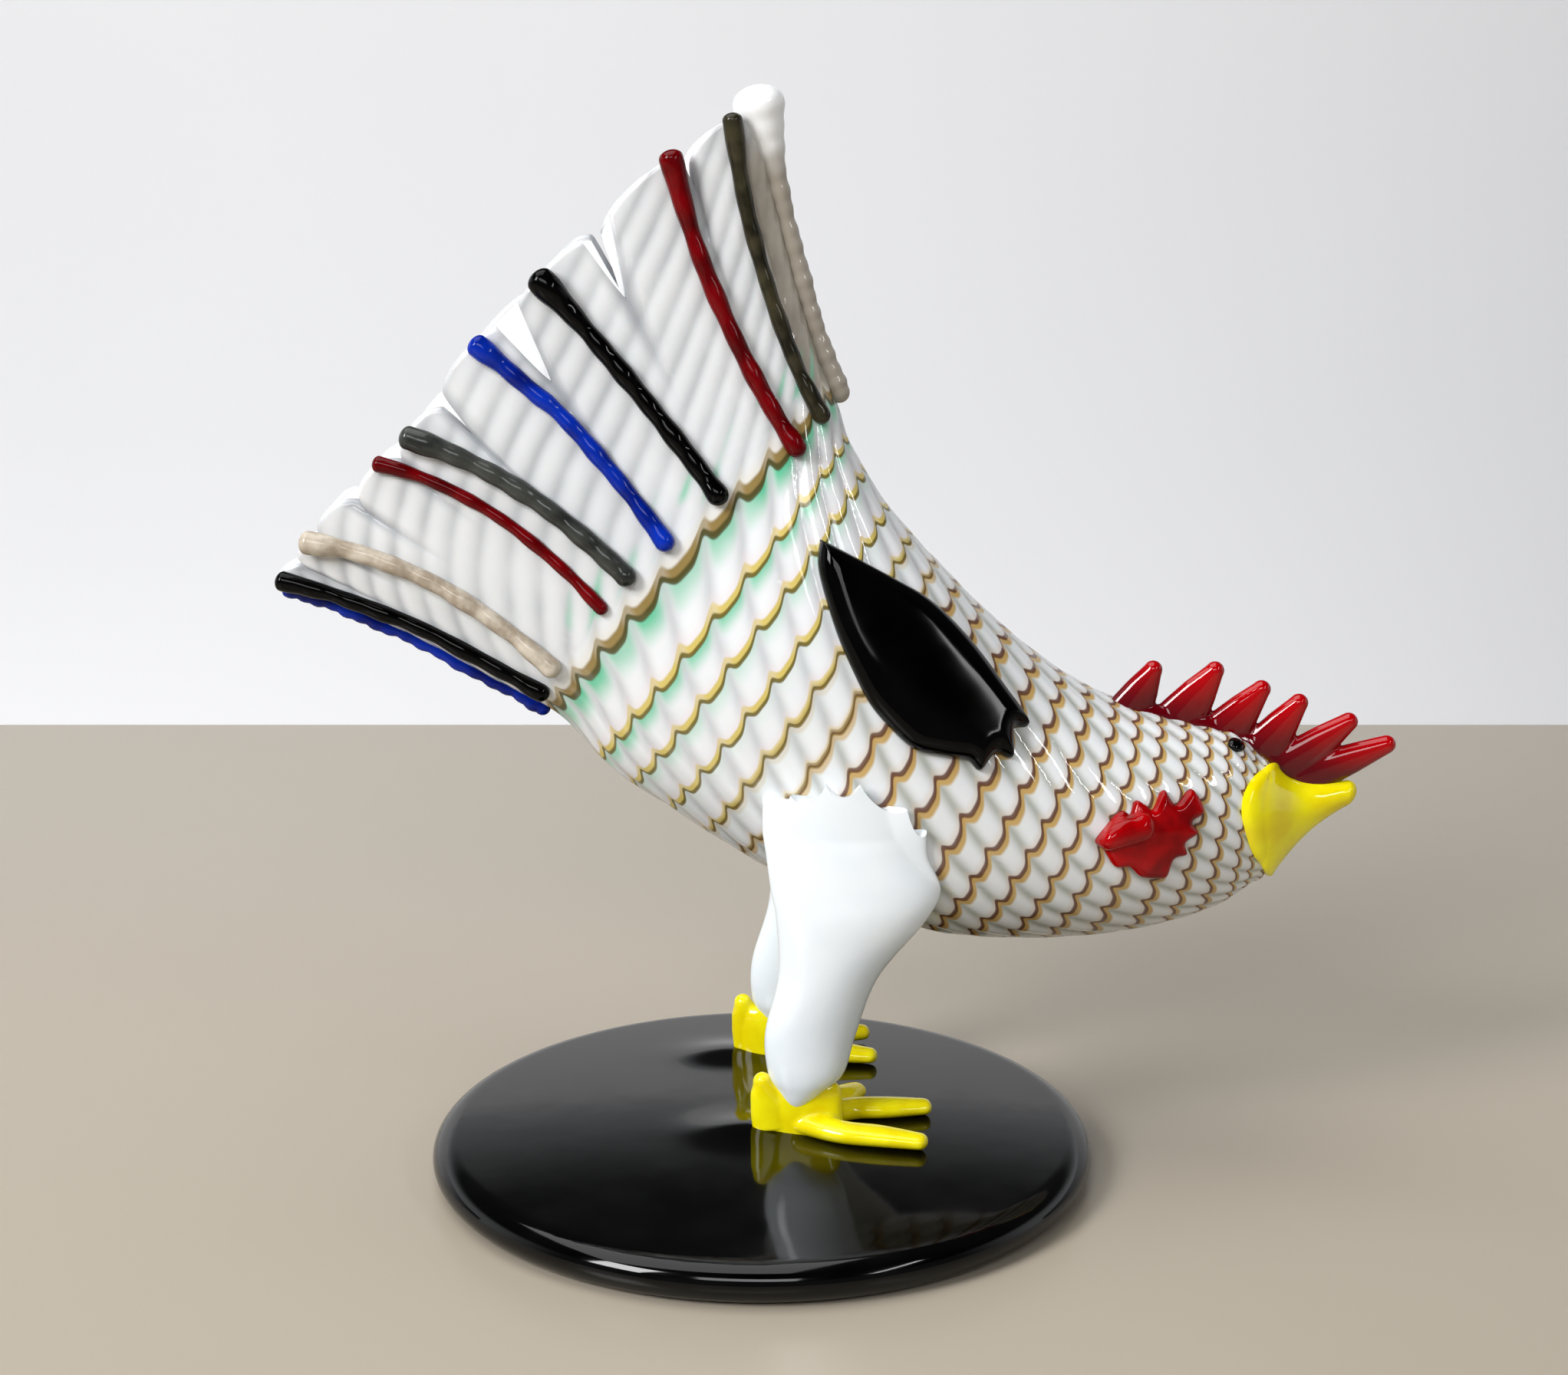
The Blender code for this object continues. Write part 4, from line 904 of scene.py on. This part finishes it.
def wing_height(places, distance, share):
    """Height of the wing: a thick leaf with a rounded edge."""
    return WING_THICKNESS * (0.10 + 0.85 * rounded(distance, WING_ROUND))


def wattle_height(places, distance, share):
    """Height of the wattle: a thin patch with a long raised lobe."""
    start = np.array(figure_place(*LOBE_START))
    run = np.array(figure_place(*LOBE_END)) - start
    place = np.clip((places - start) @ run / (run @ run), 0.0, 1.0)
    away = np.linalg.norm(places - start - place[:, None] * run, axis=1)
    lobe = WATTLE_LOBE_HEIGHT * np.sqrt(np.clip(1 - (away / LOBE_RADIUS) ** 2, 0.0, 1.0))
    return WATTLE_THICKNESS * (0.15 + 0.80 * rounded(distance, WATTLE_ROUND)) + lobe


def eye_height(places, distance, share):
    """Height of the eye's dome."""
    return np.full(len(places), EYE_THICKNESS * (0.2 + 0.8 * math.sqrt(1 - share ** 2)))


def eye_place(turn, size=1.0):
    """Place on the eye's outline, or inside it at a smaller size, as seen from the side."""
    station = EYE_STATION + EYE_HALF_STATION * size * math.cos(turn)
    angle = math.radians(EYE_ANGLE + EYE_HALF_ANGLE * size * math.sin(turn))
    point = body_point(station, angle)
    return point[0] / ROOSTER_HEIGHT, (point[2] - foot_level()) / ROOSTER_HEIGHT


def build_rod(name, rod, side, beads):
    """A trailed glass rod: uneven in width, with a thicker tip, sunk a little in the fan."""
    _, _, radius, tip_extra, tip, root, *angles = rod
    if side == LEFT:
        tip += LEFT_TIP_STEP
    count = 90
    sides = 24
    share = np.linspace(0, 1, count)
    seed = sum(ord(letter) for letter in name)
    station = tip + (root - tip) * share
    weights = ((1 - share) * (1 - 2 * share), 4 * share * (1 - share), share * (2 * share - 1))
    angle = np.radians(sum(weight * value for weight, value in zip(weights, angles)))
    bumps = 0
    for waves, shift in ROD_WAVES:
        bumps = bumps + ROD_WAVE_SHARE * np.sin(2 * math.pi * waves * share + shift * seed)
    bumps = bumps + beads * np.sin(2 * math.pi * BEAD_COUNT * share)
    at_tip = np.exp(-(share / ROD_TIP_LENGTH) ** 2)
    at_root = np.exp(-((1 - share) / ROD_ROOT_LENGTH) ** 2)
    size = radius * (1 + bumps + tip_extra * at_tip + ROD_ROOT_EXTRA * at_root)
    rise = size - ROD_SINK
    if tip_extra > BULB_SHARE:
        rise = (radius - ROD_SINK) * (1 - at_tip)
    path = lifted_point(station, angle, rise)
    ahead = unit(np.gradient(path, axis=0))
    out = body_normal(station, angle)
    across = unit(np.cross(ahead, out))
    over = np.cross(across, ahead)
    turn = circle(sides)

    def ring(point, place, width):
        return point + width * (np.cos(turn)[:, None] * across[place] + np.sin(turn)[:, None] * over[place])

    caps = np.linspace(math.pi / 2, 0.15, 7)[1:]
    rings = []
    for lean in caps[::-1]:
        point = path[0] - ahead[0] * size[0] * math.cos(lean) * END_REACH
        rings.append(ring(point, 0, size[0] * math.sin(lean)))
    for place in range(count):
        rings.append(ring(path[place], place, size[place]))
    for lean in caps:
        rings.append(ring(path[-1] + ahead[-1] * size[-1] * math.cos(lean), -1, size[-1] * math.sin(lean)))
    vertices, faces = closed_loft(rings)
    return mesh_object(name, mirrored(vertices, side), faces, 70)


def leg_arch(share):
    """Height of the leg's scalloped upper edge over the disc, from its back to its front."""
    tips, heights = np.array(LEG_TIPS).T
    place = np.clip(np.searchsorted(tips, share, side="right") - 1, 0, len(tips) - 2)
    between = np.clip((share - tips[place]) / (tips[place + 1] - tips[place]), 0.0, 1.0)
    arch = np.interp(share, tips, heights)
    return arch - LEG_SCALLOP_DEPTH * np.sin(math.pi * between) ** LEG_SCALLOP_POWER


def leg_ring(row, lift, shares):
    """One ring of the right leg, back to front outside and front to back inside."""
    height, back, front, out, thick = row
    inner = shares[::-1][1:-1]
    share = np.concatenate([shares, inner])
    outside = np.concatenate([np.ones(len(shares)), -np.ones(len(inner))])
    bulge = np.sqrt(np.clip(1 - (2 * share - 1) ** 2, 0.0, 1.0))
    x = ROOSTER_HEIGHT * back + ROOSTER_HEIGHT * (front - back) * share
    raised = height + lift * (leg_arch(share) - height)
    z = foot_level() + ROOSTER_HEIGHT * raised
    depth = ROOSTER_HEIGHT * out + outside * bulge * (ROOSTER_HEIGHT * thick)
    surface = side_depth(x, z)
    over_body = surface > BODY_WALL
    lap = surface + LEG_LAP * (0.25 + 0.75 * bulge ** 0.5)
    depth = np.where(over_body & (outside > 0), np.maximum(depth, lap), depth)
    inside = np.minimum(depth, surface - 0.001)
    depth = np.where(over_body & (outside < 0) & (raised > LEG_ON_FLANK), inside, depth)
    return points(x, SET_BACK - depth, z)


def build_leg(side, word):
    """A leg that laps over the flank with a scalloped edge."""
    bend = np.linspace(0, math.pi, 67)
    shares = np.unique(np.concatenate([(1 - np.cos(bend)) / 2, [share for share, _ in LEG_TIPS]]))
    rows = 70
    rings = []
    for place in np.linspace(0, len(LEG_ROWS) - 1, rows):
        rings.append(leg_ring(smooth_table(LEG_ROWS, np.array(place)), 0.0, shares))
    for lift in np.linspace(0, 1, 14)[1:]:
        rings.append(leg_ring(LEG_ROWS[-1], lift, shares))
    last = rings[-1].copy()
    last = last + (last.mean(axis=0) - last) * 0.05
    last[:, 1] += 0.0016
    rings.append(last)
    rings = np.array(rings)
    if side == LEFT:
        height = (rings[..., 2] - foot_level()) / ROOSTER_HEIGHT
        rings[..., 0] += ROOSTER_HEIGHT * LEFT_FOOT_STEP * np.clip(1 - height / LEG_ROWS[-1][0], 0.0, 1.0)
    vertices, faces = closed_loft(mirrored(rings, side))
    return mesh_object(f"leg_glass_{word}", vertices, faces, 60)


def tapered_rod(path, radii):
    """Points and faces of a bar along a path with domed ends, from half widths and half heights."""
    places = np.linspace(0, len(path) - 1, 16)
    path = smooth_table(path, places)
    radii = smooth_table(radii, places)
    ahead = unit(np.gradient(path, axis=0))
    turn = circle(20)
    rings = []

    def ring(point, direction, width, height):
        across = unit(np.cross(direction, (0.0, 0.0, 1.0)))
        over = np.cross(across, direction)
        return point + np.cos(turn)[:, None] * across * width + np.sin(turn)[:, None] * over * height

    leans = np.linspace(0.2, math.pi / 2, 5)[:-1]
    for lean in leans:
        point = path[0] - ahead[0] * radii[0, 1] * math.cos(lean)
        rings.append(ring(point, ahead[0], *(radii[0] * math.sin(lean))))
    for point, direction, size in zip(path, ahead, radii):
        rings.append(ring(point, direction, *size))
    for lean in leans[::-1]:
        point = path[-1] + ahead[-1] * radii[-1, 1] * math.cos(lean)
        rings.append(ring(point, ahead[-1], *(radii[-1] * math.sin(lean))))
    return closed_loft(rings)


def spike(root, tip, half_length, half_width, steps):
    """Points and faces of a flattened spike from a wide root to a round tip."""
    reach = np.linalg.norm(tip - root)
    ahead = (tip - root) / reach
    across = np.array([0.0, 1.0, 0.0])
    along = np.cross(across, ahead)
    turn = circle(20)
    body = reach - SPIKE_TIP_RADIUS
    rings = []
    for share in np.linspace(0, 1, 12):
        narrowing = np.interp(share, *np.array(steps).T)
        long = half_length + (SPIKE_TIP_RADIUS - half_length) * narrowing
        wide = half_width + (SPIKE_TIP_RADIUS - half_width) * narrowing
        middle = root + ahead * body * share
        rings.append(middle + np.cos(turn)[:, None] * along * long + np.sin(turn)[:, None] * across * wide)
    for lean in np.linspace(0, math.pi / 2, 6)[1:-1]:
        middle = root + ahead * (body + SPIKE_TIP_RADIUS * math.sin(lean))
        width = SPIKE_TIP_RADIUS * math.cos(lean)
        rings.append(middle + width * (np.cos(turn)[:, None] * along + np.sin(turn)[:, None] * across))
    return closed_loft(rings, end=tip)


def cuff(step):
    """Points and faces of the cuff round the leg's end."""
    turn = circle(36)
    rings = []
    for height, back, front, half_width in smooth_table(CUFF_ROWS, np.linspace(0, len(CUFF_ROWS) - 1, 12)):
        x = (back + front) / 2 + step + (front - back) / 2 * np.cos(turn)
        out = FOOT_MIDDLE[1] + half_width * np.sin(turn)
        rings.append(figure_point(x, out, height))
    return closed_loft(rings)


def toe(middle, tip, step, share):
    """Points and faces of a flat toe from under the leg over its middle to its tip."""
    root = np.array(FOOT_MIDDLE)
    middle = root + (np.array(middle) - root) * share
    tip = root + (np.array(tip) - root) * share
    places = (root, middle, (middle + tip) / 2, tip)
    path = [
        figure_point(place[0] + step, place[1], height * TOE_RISE)
        for place, (_, height) in zip(places, TOE_SECTIONS)
    ]
    return tapered_rod(path, ROOSTER_HEIGHT * np.array(TOE_SECTIONS))


def build_foot(side, word):
    """A foot of a cuff, three toes and a heel spur melted together round the leg's end."""
    step = LEFT_FOOT_STEP if side == LEFT else 0.0
    toe_share = LEFT_TOE_SHARE if side == LEFT else 1.0
    shapes = [cuff(step)]
    for middle, tip in TOES:
        shapes.append(toe(middle, tip, step, toe_share))
    root, tip = (figure_point(x + step, HEEL_OUT, z) for x, z in (HEEL_FOOT, HEEL_TOP))
    shapes.append(spike(root, tip, ROOSTER_HEIGHT * HEEL_HALF_LENGTH, HEEL_HALF_WIDTH, HEEL_STEPS))
    shapes = [(mirrored(points, side), faces) for points, faces in shapes]
    foot = fused(f"foot_glass_{word}", shapes, FOOT_VOXEL, FOOT_ROUNDS)
    floor = foot_level() - FOOT_SINK
    for vertex in foot.data.vertices:
        vertex.co.z = max(vertex.co.z, floor)
    return foot


def hood_station(angle):
    """Station where the beak's hood begins, round the head, on a curve without corners."""
    angles, stations = np.array(HOOD_EDGE).T
    degrees = (np.degrees(angle)[:, None] + np.linspace(-HOOD_BLEND, HOOD_BLEND, 9)) % 360
    return np.interp(np.minimum(degrees, 360 - degrees), angles, stations).mean(axis=1)


def build_beak():
    """The beak: a hood over the end of the head, drawn out to a blunt tip."""
    sides = 96
    angles = circle(sides)
    start = hood_station(angles)
    last = np.maximum(HOOD_LAST_STATION, start + HOOD_SPAN)
    rows = []
    for share in np.linspace(0, 1, 8):
        thickness = 0.20 + 0.80 * min(1.0, share / 0.35) ** 0.5
        station = start + (last - start) * share
        rows.append(lifted_point(station, angles, np.full(sides, HOOD_THICKNESS * thickness)))
    for x, z, half_height, half_width in BEAK_SECTIONS:
        rows.append(figure_point(x, half_width * np.sin(angles), z + half_height * np.cos(angles)))
    rows = np.array(rows)
    for _ in range(3):
        rows[5:-1] = (rows[4:-2] + 2 * rows[5:-1] + rows[6:]) / 4
    fine = smooth_table(rows.reshape(len(rows), -1), np.linspace(0, len(rows) - 1, 64))
    fine = fine.reshape(-1, sides, 3)
    rings = [body_point(start + 0.1, angles, inset=0.001), *fine]
    tip = figure_point(BEAK_TIP[0], 0.0, BEAK_TIP[1])
    middle = fine[-1].mean(axis=0)
    for lean in np.linspace(0, math.pi / 2, 7)[1:-1]:
        rings.append(middle + (fine[-1] - middle) * math.cos(lean) + (tip - middle) * math.sin(lean))
    vertices, faces = closed_loft(rings, end=tip)
    return mesh_object("beak_glass", vertices, faces, 60)


def build_comb():
    """The comb: spikes melted together along the head's middle line."""
    ridge = [figure_point(x, 0.0, z) for x, z in COMB_RIDGE]
    shapes = [tapered_rod(ridge, np.full((len(ridge), 2), COMB_HALF_WIDTH))]
    for *ends, half_length in SPIKES:
        root, tip = (figure_point(x, 0.0, z) for x, z in ends)
        shapes.append(spike(root, tip, ROOSTER_HEIGHT * half_length, COMB_HALF_WIDTH, COMB_STEPS))
    return fused("comb_glass", shapes, COMB_VOXEL, COMB_ROUNDS)


def build_disc():
    """The black disc: a domed top pulled up a little at the heels, and a fat rounded rim."""
    sides = 160
    turn = circle(sides)
    top_radius = DISC_RADIUS - DISC_RIM_ROUND
    rings = []
    for share in np.linspace(0.02, 1.0, 56):
        x = top_radius * share * np.cos(turn)
        y = top_radius * share * np.sin(turn)
        z = DISC_THICKNESS + DISC_DOME * (1 - share ** 2)
        rings.append(points(x, y, z + disc_mounds(x, y)))
    for lean in np.linspace(math.pi / 2, -math.pi / 2, 19)[1:]:
        radius = top_radius + DISC_RIM_ROUND * math.cos(lean)
        height = DISC_THICKNESS / 2 * (1 + math.sin(lean))
        rings.append(points(radius * np.cos(turn), radius * np.sin(turn), height))
    vertices, faces = closed_loft(rings)
    vertices[-2] = np.array([0.0, 0.0, DISC_THICKNESS + DISC_DOME])
    return mesh_object("disc_glass", vertices, faces, 60)


def disc_mounds(x, y):
    """Soft rise of the disc's top beside each heel."""
    rise = 0
    for side, _ in SIDES:
        middle_y = SET_BACK - side * ROOSTER_HEIGHT * FOOT_MIDDLE[1]
        step = ROOSTER_HEIGHT * (LEFT_FOOT_STEP if side == LEFT else 0.0)
        far = ((x - step + MOUND_BACK) / MOUND_HALF_LENGTH) ** 2 + ((y - middle_y) / MOUND_HALF_WIDTH) ** 2
        rise = rise + MOUND_RISE * np.exp(-far)
    return rise


# Assembly

milk = body_glass()
opal = plain_glass("opal_glass", srgb(238, 246, 252), srgb(244, 250, 255), 60, bump=0.03)
black = plain_glass("black_glass", srgb(1, 1, 1), srgb(4, 4, 4), 60, 0.06, 0.10, 0.03, 0.32)
satin_black = plain_glass("satin_black_glass", srgb(1, 1, 1), srgb(3, 3, 3), 60, 0.05, 0.10, 0.03, 0.14)
yellow = plain_glass("yellow_glass", srgb(238, 216, 2), srgb(252, 240, 16), 90, 0.06, 0.14)
red = plain_glass("red_glass", srgb(118, 1, 4), srgb(172, 3, 8), 110, shine=0.25)
comb_red = placed_glass(
    "comb_glass", srgb(84, 2, 12), srgb(170, 2, 8), COMB_ROOT_LEVEL, COMB_TIP_LEVEL, (COMB_LEAN, 0.0, 1.0)
)
corner_glass = placed_glass(
    "corner_glass", srgb(160, 152, 140), srgb(246, 247, 248), CORNER_TAN_HEIGHT, CORNER_WHITE_HEIGHT
)
glasses = {"black": (satin_black, "black_glass"), "corner": (corner_glass, "tan_glass")}
# Glass of the other rods: its name, dark and light colour, size of its grain, and shine
for colour, name, dark, light, grain, shine in (
    ("tan", "tan_glass", (158, 144, 126), (204, 194, 178), 200, 0.4),
    ("red", "rod_red_glass", (74, 1, 4), (112, 2, 8), 120, 0.15),
    ("grey", "grey_glass", (34, 36, 34), (62, 64, 60), 120, 0.3),
    ("blue", "blue_glass", (2, 18, 104), (8, 46, 170), 80, 0.18),
    ("olive", "olive_glass", (26, 24, 16), (58, 54, 38), 160, 0.2),
):
    glass = plain_glass(name, srgb(*dark), srgb(*light), grain, 0.10, 0.18, 0.04, shine)
    glasses[colour] = (glass, f"{colour}_glass")

place_piece(build_body(), milk, "milk_glass", "body")
place_piece(build_disc(), black, "black_glass", "base_disc")
eye_outline = [eye_place(turn) for turn in circle(12)]
for side, word in SIDES:
    place_piece(build_leg(side, word), opal, "opal_white_glass", f"leg_{word}")
    place_piece(build_foot(side, word), yellow, "yellow_glass", f"foot_{word}")
    wing = patch(f"wing_glass_{word}", WING_OUTLINE, WING_MIDDLE, wing_height, side)
    place_piece(wing, satin_black, "black_glass", f"wing_{word}")
    wattle = patch(f"wattle_glass_{word}", WATTLE_OUTLINE, WATTLE_MIDDLE, wattle_height, side)
    place_piece(wattle, red, "red_glass", f"wattle_{word}")
    eye = patch(f"eye_glass_{word}", eye_outline, eye_place(0.0, 0.0), eye_height, side)
    place_piece(eye, black, "black_glass", f"eye_{word}")
    for rod in FACE_RODS:
        piece = build_rod(f"glass_{rod[0]}_{word}", rod, side, 0.0)
        place_piece(piece, *glasses[rod[1]], f"{rod[0]}_{word}")
for rod in EDGE_RODS:
    place_piece(build_rod(f"glass_{rod[0]}", rod, RIGHT, EDGE_BEADS), *glasses[rod[1]], rod[0])
place_piece(build_beak(), yellow, "yellow_glass", "beak")
place_piece(build_comb(), comb_red, "red_glass", "comb")


# Stage, light and camera

def stage_plane(name, corners, colour, roughness):
    """A flat sheet of floor or backdrop."""
    mesh = bpy.data.meshes.new(name)
    mesh.from_pydata(corners, [], [tuple(range(len(corners)))])
    thing = bpy.data.objects.new(name, mesh)
    bpy.context.scene.collection.objects.link(thing)
    work = Nodes(name, roughness)
    darker = (*(channel * 0.96 for channel in colour[:3]), 1.0)
    work.colour(work.mix(work.noise(3), colour, darker))
    mesh.materials.append(work.material)


TABLE_EDGE = 0.48
FLOOR_REACH = 9
WALL = 1.3
WALL_REACH = 5
WALL_TOP = 0.52
near = [(-FLOOR_REACH, -FLOOR_REACH, 0), (FLOOR_REACH, -FLOOR_REACH, 0)]
far = [(FLOOR_REACH, TABLE_EDGE, 0), (-FLOOR_REACH, TABLE_EDGE, 0)]
stage_plane("table", near + far, srgb(177, 167, 151), 0.25)
low = [(-WALL_REACH, WALL, -WALL_REACH), (WALL_REACH, WALL, -WALL_REACH)]
high = [(WALL_REACH, WALL, WALL_TOP), (-WALL_REACH, WALL, WALL_TOP)]
stage_plane("wall", low + high, srgb(233, 233, 235), 0.9)


def area_light(name, place, target, size, power, spin=0.0):
    """A rectangular light that looks at a point."""
    data = bpy.data.lights.new(name, "AREA")
    data.shape = "RECTANGLE"
    data.size, data.size_y = size
    data.energy = power
    light = bpy.data.objects.new(name, data)
    light.location = place
    aim = (Vector(target) - Vector(place)).to_track_quat("-Z", "Y")
    light.rotation_euler = (aim @ Quaternion((0.0, 0.0, 1.0), math.radians(spin))).to_euler()
    light.visible_camera = False
    bpy.context.scene.collection.objects.link(light)


area_light("overhead", (-0.40, 0.05, 1.6), (0, 0, 0.1), (1.5, 1.5), 18)
area_light("key_window", (-1.25, -1.05, 1.15), (0, 0, 0.12), (0.60, 0.75), 32.5)
area_light("front_fill", (-0.15, -1.9, 1.3), (0, 0, 0.12), (1.2, 0.5), 12)
area_light("streak_window", (1.03, -0.92, 0.95), (0.08, 0, 0.12), (0.07, 0.75), 3.0, -50)
area_light("wall_wash", (-0.5, 0.72, -0.7), (-0.4, 1.3, 0.25), (2.6, 0.4), 9.8)

# Light of the room by direction: the axis, where its change begins and ends, and both strengths
ROOM_CHANGES = (("Y", -0.4, 0.2, 0.12, 0.9), ("Z", 0.30, 0.48, 1.0, 0.05))
world = bpy.data.worlds.new("studio")
world.use_nodes = True
room = world.node_tree
direction = room.nodes.new("ShaderNodeSeparateXYZ")
room.links.new(room.nodes.new("ShaderNodeTexCoord").outputs["Generated"], direction.inputs[0])
strength = room.nodes.new("ShaderNodeMath")
strength.operation = "MULTIPLY"
for factor, (axis, *limits) in zip(strength.inputs, ROOM_CHANGES):
    change = room.nodes.new("ShaderNodeMapRange")
    change.interpolation_type = "SMOOTHSTEP"
    room.links.new(direction.outputs[axis], change.inputs[0])
    for place, value in enumerate(limits, 1):
        change.inputs[place].default_value = value
    room.links.new(change.outputs[0], factor)
room.links.new(strength.outputs[0], room.nodes["Background"].inputs["Strength"])
room.nodes["Background"].inputs["Color"].default_value = (0.95, 0.97, 1.0, 1.0)
bpy.context.scene.world = world
# The Standard view keeps white and black glass at the values that the photograph shows
bpy.context.scene.view_settings.view_transform = "Standard"

CAMERA_PLACE = (0.0061, -0.7269, 0.3219)
CAMERA_TILT = 75.84
camera_data = bpy.data.cameras.new("camera")
camera_data.sensor_width = 36.0
camera_data.lens = 63.405
camera = bpy.data.objects.new("camera", camera_data)
camera.location = CAMERA_PLACE
camera.rotation_euler = (math.radians(CAMERA_TILT), 0.0, 0.0)
bpy.context.scene.collection.objects.link(camera)
bpy.context.scene.camera = camera
